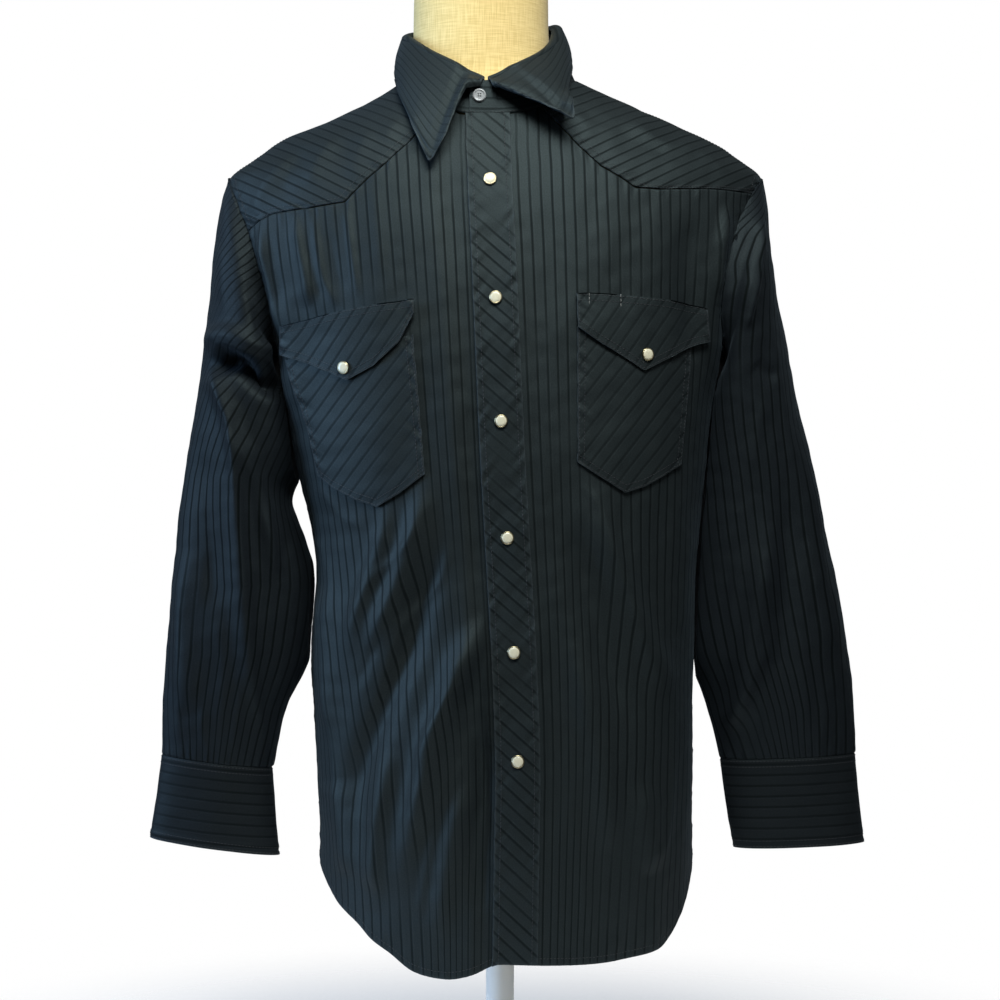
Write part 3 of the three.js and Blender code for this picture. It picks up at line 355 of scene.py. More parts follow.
# The collar, from the wearer's right front end round the back to the left front end. angle: place on
# the neckline; foldX..foldZ: the top of the stand; edgeX..edgeZ: the leaf's free edge.
COLLAR = table("angle foldX foldY foldZ edgeX edgeY edgeZ", [
    [-3, -13, -82, 902, -15, -86, 899],
    [-7, -19, -81, 905, -29, -91, 895],
    [-10, -24, -80, 907, -34, -98, 887],
    [-13, -28, -79, 909, -46, -110, 852],
    [-16, -31, -78, 911, -58, -112, 829],
    [-21, -37, -77, 915, -64, -107, 839],
    [-45, -61, -59, 930, -75, -94, 864],
    [-70, -78, -32, 945, -87, -62, 897],
    [-92, -84, 0, 955, -91, -2, 911],
    [-125, -70, 44, 966, -84, 58, 918],
    [-155, -42, 66, 972, -50, 86, 922],
    [-180, -14, 72, 974, -14, 92, 923],
    [-205, 16, 65, 973, 26, 85, 922],
    [-235, 41, 43, 970, 56, 58, 923],
    [-268, 52, 2, 963, 62, -2, 924],
    [-290, 48, -26, 946, 59, -56, 908],
    [-315, 35, -55, 929, 57, -90, 887],
    [-336, 16, -74, 916, 59, -104, 873],
    [-342, 9, -76, 913, 58, -107, 862],
    [-347, 3, -78, 909, 44, -107, 870],
    [-352, -4, -80, 905, 17, -98, 884],
    [-357, -11, -82, 902, -8, -87, 897],
])

# The dress form, from its underside to the top of its neck.
FORM = table("z mid half front back", [
    [232, 0, 118, 88, 96],
    [240, 0, 128, 96, 104],
    [280, 0, 138, 104, 111],
    [340, -1, 140, 105, 110],
    [430, -2, 131, 102, 99],
    [520, -3, 137, 106, 104],
    [620, -4, 156, 115, 114],
    [700, -5, 170, 112, 116],
    [760, -5, 178, 102, 110],
    [805, -5, 179, 95, 101],
    [838, -5, 171, 89, 92],
    [862, -5, 160, 86, 88],
    [880, -5, 142, 80, 83],
    [890, -6, 119, 74, 77],
    [900, -8, 97, 69, 73],
    [912, -13, 72, 62, 65],
    [925, -16, 64, 59, 62],
    [955, -17, 61, 58, 60],
    [995, -17, 60, 58, 59],
    [1010, -17, 58, 56, 57],
    [1016, -17, 54, 52, 53],
    [1019, -17, 45, 43, 44],
])

# Pockets with a pointed foot, and their flaps, in columns as seen from the front.
PATCH_COLUMNS = "x low topX top"
POCKET = {
    RIGHT: table(PATCH_COLUMNS, [
        [-157, 562, -179, 664],
        [-142, 551, -160, 666],
        [-122, 541, -138, 669],
        [-104, 535, -114, 673],
        [-84, 547, -93, 677],
        [-63, 563, -73, 681],
    ]),
    LEFT: table(PATCH_COLUMNS, [
        [65, 573, 65, 688],
        [85, 560, 87, 687],
        [106, 547, 110, 686],
        [122, 552, 127, 684],
        [138, 561, 145, 683],
        [156, 572, 165, 681],
    ]),
}
FLAP = {
    RIGHT: table(PATCH_COLUMNS, [
        [-182, 669, -182, 694],
        [-164, 660, -163, 697],
        [-145, 651, -144, 701],
        [-129, 643, -127, 704],
        [-106, 655, -106, 707],
        [-84, 675, -86, 709],
        [-72, 699, -72, 711],
    ]),
    LEFT: table(PATCH_COLUMNS, [
        [65, 687, 64, 716],
        [84, 674, 84, 716],
        [104, 662, 104, 715],
        [121, 651, 121, 714],
        [140, 661, 140, 713],
        [158, 671, 158, 711],
        [176, 679, 175, 708],
    ]),
}
FRONT_SNAP_Z = [814, 712, 607.5, 509, 412.5, 321]
FLAP_SNAP = {RIGHT: (-131, 654), LEFT: (123.5, 665)}
CUFF_SNAPS = [0.2, 0.5, 0.8]
PEN_SLOT = [(74.6, 706, 716), (101.2, 704, 716)]  # x, lower and upper z of the slot's two ends
BUTTON_HOLES = [(0.95, 0.95), (-0.95, 0.95), (0.95, -0.95), (-0.95, -0.95)]


# Plain helpers
def mix(a, b, f):
    return a + (b - a) * f


def smooth(x, start, end):
    f = np.clip((np.asarray(x, float) - start) / (end - start), 0, 1)
    return f * f * (3 - 2 * f)


def unit(v):
    return v / np.maximum(np.linalg.norm(v, axis=-1, keepdims=True), 1e-9)


def stack(*parts):
    return np.stack(np.broadcast_arrays(*parts), axis=-1)


def sin(degrees):
    return np.sin(np.radians(degrees))


def cos(degrees):
    return np.cos(np.radians(degrees))


def spaced(count, rim):
    """Shares from 0 to 1 with extra ones close to both ends; rim is 1 mm as a share of the length."""
    near = np.array([0.4, 0.9, 1.6, 2.6]) * rim
    return np.unique(np.concatenate([np.linspace(0, 1, count), near, 1 - near]).round(7))


def shares(v, cut):
    """How far each of v is along the part below a cut and along the part above it, from 0 to 1."""
    return np.clip(v / cut, 0, 1), np.clip((v - cut) / (1 - cut), 0, 1)


def row_at(rows, key, value, curved=True):
    """The row between a table's rows at each value of its key column."""
    keys = rows[key]
    up = np.sign(keys[-1] - keys[0])
    value = np.asarray(value, float)
    i = np.searchsorted(keys[1:-1] * up, value * up)
    span = keys[i + 1] - keys[i]
    f = np.clip((value - keys[i]) / span, 0, 1)
    before, after = np.maximum(i - 1, 0), np.minimum(i + 2, len(keys) - 1)
    out = {}
    for name, column in rows.items():
        a, b = column[i], column[i + 1]
        if not curved:
            out[name] = mix(a, b, f)
            continue
        slope_a = (b - column[before]) / (keys[i + 1] - keys[before]) * span
        slope_b = (column[after] - a) / (keys[after] - keys[i]) * span
        out[name] = (
            (2 * f**3 - 3 * f * f + 1) * a
            + (f**3 - 2 * f * f + f) * slope_a
            + (3 * f * f - 2 * f**3) * b
            + (f**3 - f * f) * slope_b
        )
    return SimpleNamespace(**out)


def station_at(rows, f, curved=True):
    """A place along a table whose rows are evenly spaced stations, from 0 to 1."""
    first = next(iter(rows.values()))
    return row_at({**rows, "station": np.linspace(0, 1, len(first))}, "station", f, curved)


def curved_paths(folds):
    """Folds with more points on each path, so that it bends without corners."""
    out = []
    for path, wide, high in folds:
        corners = {"x": np.array(path, float)[:, 0], "z": np.array(path, float)[:, 1]}
        row = station_at(corners, np.linspace(0, 1, 3 * (len(path) - 1) + 1))
        out.append((stack(row.x, row.z), wide, high))
    return out


def fold_height(folds, x, z, power):
    """How far folds move the cloth at x, z as seen from the front; a low power gives a sharp crest."""
    total = np.zeros(np.shape(x))
    for path, wide, high in folds:
        best = np.full(np.shape(x), np.inf)
        place = np.zeros(np.shape(x))
        for i in range(len(path) - 1):
            (ax, az), (bx, bz) = path[i], path[i + 1]
            dx, dz = bx - ax, bz - az
            f = np.clip(((x - ax) * dx + (z - az) * dz) / (dx * dx + dz * dz), 0, 1)
            far = np.hypot(x - ax - f * dx, z - az - f * dz)
            nearer = far < best
            best = np.where(nearer, far, best)
            place = np.where(nearer, (i + f) / (len(path) - 1), place)
        fade = smooth(place, -0.05, 0.25) * smooth(-place, -1.05, -0.75)
        total += high * fade * np.exp(-((best / wide) ** power))
    return total


def folds_at(folds, point, facing):
    """Front and back folds with their creases, blended by which way the cloth faces."""
    x, z = point[..., 0], point[..., 2]
    ahead, away = smooth(-facing, -0.25, 0.35), smooth(facing, -0.25, 0.35)
    front = fold_height(folds.front, x, z, FOLD_POWER) + fold_height(folds.front_creases, x, z, CREASE_POWER)
    back = fold_height(folds.back, x, z, FOLD_POWER) + fold_height(folds.back_creases, x, z, CREASE_POWER)
    if folds.strip:
        front = front * smooth(abs(x - row_at(BODY, "z", z).mid), PLACKET_HALF, PLACKET_HALF + 9)
    return ahead * front + away * back


BODY_FOLDS = SimpleNamespace(
    front=curved_paths(FRONT_FOLDS), back=curved_paths(BACK_FOLDS), strip=True,
    front_creases=curved_paths(FRONT_CREASES + YOKE_CREASES), back_creases=curved_paths(BACK_CREASES),
)
SLEEVE_FOLDS = SimpleNamespace(
    front=curved_paths(SLEEVE_FRONT_FOLDS), back=curved_paths(SLEEVE_BACK_FOLDS), strip=False,
    front_creases=curved_paths(SLEEVE_FRONT_CREASES), back_creases=curved_paths(SLEEVE_BACK_CREASES),
)


def normal_of(base, a, b, step_a, step_b, sign):
    along_a = base(a + step_a, b) - base(a - step_a, b)
    along_b = base(a, b + step_b) - base(a, b - step_b)
    return unit(np.cross(along_a, along_b)) * sign


# The shirt's body
SHOULDER_ROUND = 26


def body_base(angle, z):
    """The smooth body at an angle in degrees from the centre front and a height."""
    angle, z = np.broadcast_arrays(np.asarray(angle, float), np.asarray(z, float))
    row = row_at(BODY, "z", z)
    s, c = sin(angle), cos(angle)
    swell = (abs(s) ** row.square + abs(c) ** row.square) ** (-1 / row.square)

    def side_at(r):
        return np.where(s < 0, r.mid - r.right, r.left - r.mid)

    side = side_at(row)
    near = [side_at(row_at(BODY, "z", z + i * SHOULDER_ROUND / 2)) for i in (-2, -1, 0, 1, 2)]
    side = mix(np.minimum(sum(near) / 5, side), side, abs(s) ** 6)
    depth = np.where(c > 0, row.front, row.back)
    return stack(row.mid + side * s * swell, -depth * c * swell, z)


def body(angle, z, lift=0):
    point = body_base(angle, z)
    normal = normal_of(body_base, angle, z, 0.01, 0.01, 1)
    high = folds_at(BODY_FOLDS, point, normal[..., 1]) + lift
    return point + normal * np.asarray(high)[..., None]


def share(p):
    """How far out a point is from the body's middle: 1 is on the cloth."""
    row = row_at(BODY, "z", p[..., 2])
    side = np.where(p[..., 0] < row.mid, row.mid - row.right, row.left - row.mid)
    depth = np.where(p[..., 1] > 0, row.back, row.front)
    a, b = abs(p[..., 0] - row.mid) / side, abs(p[..., 1]) / depth
    return (a**row.square + b**row.square) ** (1 / row.square)


def angle_of(x, z):
    """The angle on the body's front where it is at x, at height z."""
    x, z = np.broadcast_arrays(np.asarray(x, float), np.asarray(z, float))
    side = np.where(x < row_at(BODY, "z", z).mid, -1, 1)
    low, high = np.zeros(x.shape), np.full(x.shape, 90.0)
    for _ in range(24):
        middle = (low + high) / 2
        short = (body_base(side * middle, z)[..., 0] - x) * side < 0
        low, high = np.where(short, middle, low), np.where(short, high, middle)
    return side * low


def neckline_at(angle):
    return row_at(NECKLINE, "angle", angle).z


def hem_at(angle):
    return row_at(HEM, "angle", (np.asarray(angle, float) + 180) % 360 - 180).z


GIRTH_Z = np.linspace(130, 940, 163)
GIRTH_ANGLES = np.linspace(-180, 180, 361)


def girth_table():
    """Distance round the smooth body from the centre front, by height and angle."""
    ring = body_base(GIRTH_ANGLES[None, :], GIRTH_Z[:, None])
    steps = np.linalg.norm(np.diff(ring[..., :2], axis=1), axis=-1)
    total = np.concatenate([np.zeros((len(GIRTH_Z), 1)), np.cumsum(steps, axis=1)], axis=1)
    return total - total[:, 180:181]


GIRTH = girth_table()


def girth(angle, z):
    row = np.clip((z - GIRTH_Z[0]) / (GIRTH_Z[1] - GIRTH_Z[0]), 0, len(GIRTH_Z) - 1.001)
    column = np.clip(angle + 180, 0, len(GIRTH_ANGLES) - 1.001)
    i, j = row.astype(int), column.astype(int)
    f, g = row - i, column - j
    low = mix(GIRTH[i, j], GIRTH[i, j + 1], g)
    return mix(low, mix(GIRTH[i + 1, j], GIRTH[i + 1, j + 1], g), f)


def armhole(side, turn):
    """Angle and height at degrees round the armhole: 0 its top, 90 the front, 180 under the arm."""
    cuts = ARMHOLE[side]
    s = sin(turn)
    cut = np.sign(s) * abs(s) ** 0.8 * np.where(s > 0, cuts.front_cut, cuts.back_cut)
    z = (SHOULDER_Z + UNDERARM_Z) / 2 + (SHOULDER_Z - UNDERARM_Z) / 2 * cos(turn)
    return stack(side * (90 - cut), z)


# Grids of cloth
def blend(bottom, top, left, right, u, v):
    """The inside of a panel from its four edges, each a list of [angle, z]."""
    u, v = u[:, None, None], v[None, :, None]
    corners = mix(mix(bottom[0], bottom[-1], u), mix(top[0], top[-1], u), v)
    return mix(bottom[:, None], top[:, None], v) + mix(left[None], right[None], u) - corners


def grid_normals(points, tube=False):
    if tube:
        around = np.roll(points, -1, axis=0) - np.roll(points, 1, axis=0)
    else:
        around = np.gradient(points, axis=0)
    return unit(np.cross(around, np.gradient(points, axis=1)))


def lengths(points, axis):
    """Distance along a grid's lines from their first points."""
    steps = np.linalg.norm(np.diff(points, axis=axis), axis=-1)
    start = np.zeros_like(np.take(steps, [0], axis=axis))
    return np.concatenate([start, np.cumsum(steps, axis=axis)], axis=axis)


def rim_distance(points, rims):
    """Distance of each point from the nearest of the named edges."""
    along = lengths(points, 1)
    across = lengths(points, 0)
    far = {
        "bottom": along,
        "top": along[:, -1:] - along,
        "left": across,
        "right": across[-1:] - across,
    }
    return np.minimum.reduce([far[name] for name in rims]) if rims else np.full(along.shape, 99.0)


def pull_in(points, tube):
    """Moves the rim of a grid inwards by the seam gap."""
    out = points.copy()
    out[:, 0] += unit(points[:, 1] - points[:, 0]) * SEAM
    out[:, -1] += unit(points[:, -2] - points[:, -1]) * SEAM
    if not tube:
        out[0] += unit(points[1] - points[0]) * SEAM
        out[-1] += unit(points[-2] - points[-1]) * SEAM
    return out


def waves(a, b, seed, sizes):
    """Uneven soft waves: a few sines of mixed direction, the same ones each time."""
    random = np.random.default_rng(seed)
    total = np.zeros(np.shape(a))
    for size in sizes:
        for _ in range(5):
            turn, phase = random.uniform(0, math.tau, 2)
            stretch = random.uniform(0.7, 1.4)
            total += np.sin(math.tau * stretch * (a * math.cos(turn) + b * math.sin(turn)) / size + phase)
    return total / (5 * len(sizes)) ** 0.5


def slackness(point):
    """Small unevenness of worn cotton, the same on every layer at one place."""
    a, b = point[..., 0] + 0.6 * point[..., 1], point[..., 2]
    return SLACK_BROAD * waves(a, b * 0.7, 3, [70, 45]) + SLACK_FINE * waves(a, b, 5, [24, 16])


def pucker(distance, along, seed):
    """Ripples square to a seam, strongest a few millimetres from it."""
    random = np.random.default_rng(seed)
    ripple = np.zeros(np.shape(along))
    for size in (7.5, 9.7, 13.3, 21.0):
        ripple += np.sin(math.tau * along / size + random.uniform(0, math.tau))
    near = distance / PUCKER_FAR * np.exp(1 - distance / PUCKER_FAR)
    return PUCKER_HIGH * 0.5 * ripple * near


def shell(name, points, st, material, *, outward=1, tube=False, thick=CLOTH_THICK, slack=1.0,
          seams=(), groove=0.55, hems=(), puckers=()):
    """A closed shell of cloth on a grid of points; a tube's first and last columns are joined.

    st is the cloth's own two directions in millimetres. The edges in seams sink in by groove, those in
    hems show wear, and those in puckers ripple, each with the seed beside it.
    """
    normals = grid_normals(points, tube) * outward
    far = rim_distance(points, seams)
    lift = slack * slackness(points)
    lift = lift - groove * np.exp(-((far / GROOVE_WIDE) ** 2))
    for edge, seed in puckers:
        distance = rim_distance(points, [edge])
        line = st[..., 0] if edge in ("bottom", "top") else st[..., 1]
        lift = lift + pucker(distance, line, seed)
    outer = points + normals * lift[..., None]
    outer = pull_in(outer, tube)
    normals = grid_normals(outer, tube) * outward
    inner = outer - normals * thick
    wear = np.exp(-rim_distance(outer, hems) / WEAR_WIDE)
    piece = SimpleNamespace(name=name, outer=outer, normals=normals, tube=tube)
    piece.object = shell_mesh(piece, inner, st, wear, outward, material)
    return piece


def shell_mesh(piece, inner, st, wear, outward, material):
    nu, nv = piece.outer.shape[:2]
    i, j = np.meshgrid(np.arange(nu if piece.tube else nu - 1), np.arange(nv - 1), indexing="ij")
    after = (i + 1) % nu

    def at(layer, a, b):
        return layer * nu * nv + a * nv + b

    def quads(*corners):
        return np.stack([c.ravel() for c in corners], axis=-1)

    faces = [
        quads(at(0, i, j), at(0, after, j), at(0, after, j + 1), at(0, i, j + 1)),
        quads(at(1, i, j + 1), at(1, after, j + 1), at(1, after, j), at(1, i, j)),
    ]
    a, b = i[:, 0], after[:, 0]
    faces.append(quads(at(1, a, 0), at(1, b, 0), at(0, b, 0), at(0, a, 0)))
    faces.append(quads(at(0, a, nv - 1), at(0, b, nv - 1), at(1, b, nv - 1), at(1, a, nv - 1)))
    if not piece.tube:
        k = np.arange(nv - 1)
        first, last = np.zeros_like(k), np.full_like(k, nu - 1)
        faces.append(quads(at(0, first, k), at(0, first, k + 1), at(1, first, k + 1), at(1, first, k)))
        faces.append(quads(at(1, last, k), at(1, last, k + 1), at(0, last, k + 1), at(0, last, k)))
    faces = np.concatenate(faces)
    if outward < 0:
        faces = faces[:, ::-1]
    points = np.concatenate([piece.outer.reshape(-1, 3), inner.reshape(-1, 3)])
    both = np.concatenate([st.reshape(-1, 2), st.reshape(-1, 2)])
    worn = np.concatenate([wear.ravel(), wear.ravel()])
    return mesh_object(piece.name, points, faces, material, st=both, wear=worn)


def mesh_object(name, points, faces, material, st=None, wear=None):
    mesh = bpy.data.meshes.new(name)
    faces = np.asarray(faces)
    size = faces.shape[1]
    mesh.vertices.add(len(points))
    mesh.vertices.foreach_set("co", (np.asarray(points) * MM).astype(np.float32).ravel())
    mesh.loops.add(faces.size)
    mesh.loops.foreach_set("vertex_index", faces.astype(np.int32).ravel())
    mesh.polygons.add(len(faces))
    mesh.polygons.foreach_set("loop_start", np.arange(0, faces.size, size, dtype=np.int32))
    mesh.update(calc_edges=True)
    mesh.polygons.foreach_set("use_smooth", np.ones(len(faces), bool))
    if st is not None:
        layer = mesh.uv_layers.new(name="cloth")
        layer.data.foreach_set("uv", (st[faces.ravel()] * MM).astype(np.float32).ravel())
    if wear is not None:
        attribute = mesh.attributes.new("wear", "FLOAT", "POINT")
        attribute.data.foreach_set("value", wear.astype(np.float32))
    mesh.validate()
    mesh.update()
    piece = bpy.data.objects.new(name, mesh)
    bpy.context.scene.collection.objects.link(piece)
    for one in material if isinstance(material, (list, tuple)) else [material]:
        mesh.materials.append(one)
    return piece


def place_piece(piece, node):
    """A piece that moves with the part and stands for one of its nodes."""
    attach(piece, "root")
    if node:
        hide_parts(node)
    return piece


def turned(st, degrees):
    """The cloth's own two directions turned by an angle, for stripes that slant."""
    s, t = st[..., 0], st[..., 1]
    return stack(s * cos(degrees) + t * sin(degrees), t * cos(degrees) - s * sin(degrees))


# Materials
def node_tree(name):
    material = bpy.data.materials.new(name)
    material.use_nodes = True
    tree = material.node_tree
    shader = tree.nodes["Principled BSDF"]
    return material, tree, shader


def math_node(tree, operation, a, b=None, c=None):
    node = tree.nodes.new("ShaderNodeMath")
    node.operation = operation
    for socket, value in zip(node.inputs, (a, b, c)):
        if value is None:
            continue
        if isinstance(value, (int, float)):
            socket.default_value = value
        else:
            tree.links.new(value, socket)
    return node.outputs[0]


def colour_mix(tree, factor, a, b):
    """Mixes two colours, each a colour or an output; the factor is a number or an output."""
    node = tree.nodes.new("ShaderNodeMix")
    node.data_type = "RGBA"
    sockets = {"factor": node.inputs[0], "a": node.inputs[6], "b": node.inputs[7]}
    for key, value in (("factor", factor), ("a", a), ("b", b)):
        if isinstance(value, tuple):
            sockets[key].default_value = (*value, 1)
        elif isinstance(value, (int, float)):
            sockets[key].default_value = value
        else:
            tree.links.new(value, sockets[key])
    return node.outputs[2]


def set_inputs(node, **values):
    """Sets inputs by name, with _ for each space of the name."""
    for name, value in values.items():
        node.inputs[name.replace("_", " ")].default_value = value


def noise(tree, vector, scale, detail):
    node = tree.nodes.new("ShaderNodeTexNoise")
    set_inputs(node, Scale=scale, Detail=detail)
    tree.links.new(vector, node.inputs["Vector"])
    return node.outputs["Fac"]


def scaled_uv(tree, factors):
    uv = tree.nodes.new("ShaderNodeUVMap")
    uv.uv_map = "cloth"
    mapping = tree.nodes.new("ShaderNodeMapping")
    set_inputs(mapping, Scale=(*factors, 1))
    tree.links.new(uv.outputs["UV"], mapping.inputs["Vector"])
    return mapping.outputs["Vector"]


def split(tree, vector):
    node = tree.nodes.new("ShaderNodeSeparateXYZ")
    tree.links.new(vector, node.inputs[0])
    return node.outputs


def band(tree, stripe, middle, half, soft):
    """1 within half of middle on a repeating 0..1 coordinate, with soft edges."""
    far = math_node(tree, "ABSOLUTE", math_node(tree, "SUBTRACT", stripe, middle))
    return math_node(tree, "SUBTRACT", 1.0, smooth_step(tree, far, half - soft, half + soft))


def smooth_step(tree, value, start, end):
    node = tree.nodes.new("ShaderNodeMapRange")
    node.interpolation_type = "SMOOTHSTEP"
    set_inputs(node, From_Min=start, From_Max=end)
    tree.links.new(value, node.inputs["Value"])
    return node.outputs["Result"]


def bump(tree, shader, height, strength, distance):
    node = tree.nodes.new("ShaderNodeBump")
    set_inputs(node, Strength=strength, Distance=distance)
    tree.links.new(height, node.inputs["Height"])
    tree.links.new(node.outputs["Normal"], shader.inputs["Normal"])


COTTON = (0.0185, 0.0238, 0.0258)
# The sleeves' and cuffs' colours are darker copies of the body's cotton: painted shade, for the lesser light
# that falls on them
SLEEVE_COTTON_PAINTED_SHADE = (0.0128, 0.0162, 0.0200)
CUFF_COTTON_PAINTED_SHADE = (0.0125, 0.0152, 0.0180)
STRIPE_LINE = (0.0006, 0.0008, 0.0012)
WORN_EDGE = (0.062, 0.074, 0.082)


def shirting(name, line, colour=COTTON, shine=0.26):
    """Near-black cotton with woven satin stripes: a wide satin band and a narrow matt line between bands, and
    beside each matt line a thin lighter line, a painted sheen.
    """

    def toned(base, where, strength, tone):
        """Mixes in the cotton's colour, lighter or darker by tone, where an output is high."""
        much = math_node(tree, "MULTIPLY", where, strength)
        return colour_mix(tree, much, base, tuple(c * tone for c in colour))

    material, tree, shader = node_tree(name)
    metres = split(tree, scaled_uv(tree, (1 / (STRIPE_PITCH * MM), 1 / (STRIPE_PITCH * MM))))
    stripe = math_node(tree, "FRACT", metres[0])
    clear = smooth_step(tree, noise(tree, scaled_uv(tree, (9, 6.5)), 1.0, 2), 0.22, 0.50)
    dark = math_node(tree, "MULTIPLY", band(tree, stripe, 0.5, 0.11, 0.07), clear)
    # A thin lighter line beside each dark one: painted sheen, where the satin would catch the light
    light = math_node(tree, "MULTIPLY", band(tree, stripe, 0.66, 0.05, 0.035), clear)
    flecks = noise(tree, scaled_uv(tree, (900, 900)), 1.0, 2)
    slubs = noise(tree, scaled_uv(tree, (2600, 160)), 1.0, 2)
    patches = noise(tree, scaled_uv(tree, (14, 9)), 1.0, 3)
    streaks = noise(tree, scaled_uv(tree, (210, 7)), 1.0, 2)
    base = colour_mix(tree, patches, tuple(c * 0.7 for c in colour), tuple(c * 1.35 for c in colour))
    base = toned(base, slubs, 0.5, 1.6)
    base = toned(base, streaks, 0.4, 0.4)
    base = toned(base, light, 0.4, 1.8)
    base = toned(base, smooth_step(tree, flecks, 0.3, 0.7), 0.55, 0.35)
    base = colour_mix(tree, math_node(tree, "MULTIPLY", dark, line), base, STRIPE_LINE)
    wear = tree.nodes.new("ShaderNodeAttribute")
    wear.attribute_name = "wear"
    worn = math_node(tree, "MULTIPLY", wear.outputs["Fac"], math_node(tree, "MULTIPLY", flecks, 0.9))
    base = colour_mix(tree, worn, base, WORN_EDGE)
    tree.links.new(base, shader.inputs["Base Color"])
    rough = math_node(tree, "MULTIPLY_ADD", flecks, 0.16, 0.42)
    rough = math_node(tree, "MULTIPLY_ADD", dark, 0.25 * line, rough)
    tree.links.new(rough, shader.inputs["Roughness"])
    set_inputs(shader, Specular_IOR_Level=shine, Specular_Tint=(0.74, 0.98, 1.0, 1),
               Sheen_Weight=0.05, Sheen_Roughness=0.38, Sheen_Tint=(0.62, 0.82, 1.0, 1))
    height = math_node(tree, "ADD", math_node(tree, "MULTIPLY", weave(tree), 0.5), slubs)
    height = math_node(tree, "SUBTRACT", height, math_node(tree, "MULTIPLY", dark, 0.9))
    bump(tree, shader, height, 0.35, 0.00022)
    return material


def weave(tree):
    """Height of a plain weave, from two crossed sets of threads."""
    turns = math.tau / (WEAVE_PITCH * MM)
    axes = split(tree, scaled_uv(tree, (turns, turns)))
    warp = math_node(tree, "SINE", axes[0])
    weft = math_node(tree, "SINE", axes[1])
    return math_node(tree, "MULTIPLY", warp, weft)


def linen():
    """Cream cloth of crossed threads, on the form's own coordinates."""
    material, tree, shader = node_tree("form linen")
    coordinates = tree.nodes.new("ShaderNodeTexCoord").outputs["Object"]
    parts = split(tree, coordinates)
    around = math_node(tree, "MULTIPLY", math_node(tree, "ARCTAN2", parts[1], parts[0]), 0.062)

    def threads(a, b, scale_a, scale_b):
        join = tree.nodes.new("ShaderNodeCombineXYZ")
        tree.links.new(math_node(tree, "MULTIPLY", a, scale_a), join.inputs[0])
        tree.links.new(math_node(tree, "MULTIPLY", b, scale_b), join.inputs[1])
        return noise(tree, join.outputs[0], 1.0, 3)

    warp = threads(around, parts[2], 1100, 45)
    weft = threads(around, parts[2], 45, 1100)
    cross = math_node(tree, "MULTIPLY_ADD", warp, 0.5, math_node(tree, "MULTIPLY", weft, 0.5))
    broad = noise(tree, coordinates, 9.0, 3)
    tone = smooth_step(tree, cross, 0.36, 0.64)
    base = colour_mix(tree, tone, (0.72, 0.52, 0.18), (0.98, 0.76, 0.34))
    base = colour_mix(tree, math_node(tree, "MULTIPLY", broad, 0.35), base, (0.99, 0.80, 0.42))
    tree.links.new(base, shader.inputs["Base Color"])
    set_inputs(shader, Roughness=0.86, Specular_IOR_Level=0.25, Sheen_Weight=0.15)
    bump(tree, shader, cross, 0.5, 0.0003)
    return material


def plain(name, colour, roughness, variation, scale, metallic=0.0, coat=0.0):
    """A finish with a little uneven tone and gloss."""
    material, tree, shader = node_tree(name)
    coordinates = tree.nodes.new("ShaderNodeTexCoord").outputs["Object"]
    cloud = noise(tree, coordinates, scale, 3)
    low = tuple(c * (1 - variation) for c in colour)
    high = tuple(min(c * (1 + variation), 1.0) for c in colour)
    tree.links.new(colour_mix(tree, cloud, low, high), shader.inputs["Base Color"])
    tree.links.new(math_node(tree, "MULTIPLY_ADD", cloud, 0.1, roughness - 0.05), shader.inputs["Roughness"])
    set_inputs(shader, Metallic=metallic, Coat_Weight=coat, Coat_Roughness=0.08)
    return material


CLOTH = shirting("striped shirting", line=0.92)
# Darker copies of the shirting with less shine: painted shade on the sleeves and cuffs
CLOTH_SLEEVE_PAINTED_SHADE = shirting("sleeve shirting painted shade", line=1.0, colour=SLEEVE_COTTON_PAINTED_SHADE, shine=0.17)
CLOTH_CUFF_PAINTED_SHADE = shirting("cuff shirting painted shade", line=0.7, colour=CUFF_COTTON_PAINTED_SHADE, shine=0.17)
CLOTH_POCKET = shirting("pocket shirting", line=0.65)
THREAD = plain("black thread", (0.022, 0.025, 0.03), 0.55, variation=0.4, scale=900)
WHITE_THREAD = plain("pale thread", (0.27, 0.28, 0.27), 0.7, variation=0.3, scale=900)
PEARL = plain("pearl cap", (0.88, 0.83, 0.62), 0.22, variation=0.10, scale=420, coat=0.7)
RIM = plain("snap rim", (0.55, 0.47, 0.28), 0.3, metallic=1.0, variation=0.2, scale=500)
BUTTON = plain("grey button", (0.42, 0.44, 0.45), 0.25, variation=0.25, scale=380, coat=0.5)
LINEN = linen()
PAINT = plain("white paint", (0.9, 0.9, 0.88), 0.35, variation=0.02, scale=25)

pieces = {}


def cloth_piece(node, points, st, material, **settings):
    piece = shell("cloth_" + node, points, st, material, **settings)
    place_piece(piece.object, node)
    pieces[node] = piece
    return piece


# Fronts: under the strip the wearer's right front passes below the left one
UNDERLAP = 3.2
NECK_SHARE = 3 / 15  # share of a front's columns that end at the neckline
STRIP_SHARE = 2 / 15  # share of its columns that lie under the strip
SEAM_SHARE = 0.78  # share of its outer edge that is the side seam
# Extra slant of the stripes beside the strip: how far they have moved sideways at each height
SLANT = {
    RIGHT: table("z shift", [[110, 44], [315, 30], [495, 17], [675, 8], [829, 2], [945, 0]]),
    LEFT: table("z shift", [[110, -34], [315, -24], [495, -12], [675, -4], [829, 0], [945, 0]]),
}


def strip_edge(side, z):
    return angle_of(row_at(BODY, "z", z).mid + side * (PLACKET_HALF + (1.5 if side == RIGHT else 0)), z)


def yoke_seam_points(side, f):
    """Points of a front yoke seam as [angle, z], from the neckline to the armhole."""
    seam = YOKE_SEAM[side]
    start = angle_of(seam["x"][0], neckline_at(side * 30))
    inside = stack(angle_of(seam["x"][1:-1], seam["z"][1:-1]), seam["z"][1:-1])
    line = np.concatenate([[[start, neckline_at(start)]], inside, [armhole(side, ARMHOLE[side].yoke)]])
    row = station_at({"angle": line[:, 0], "z": line[:, 1]}, f, curved=False)
    return stack(row.angle, row.z)


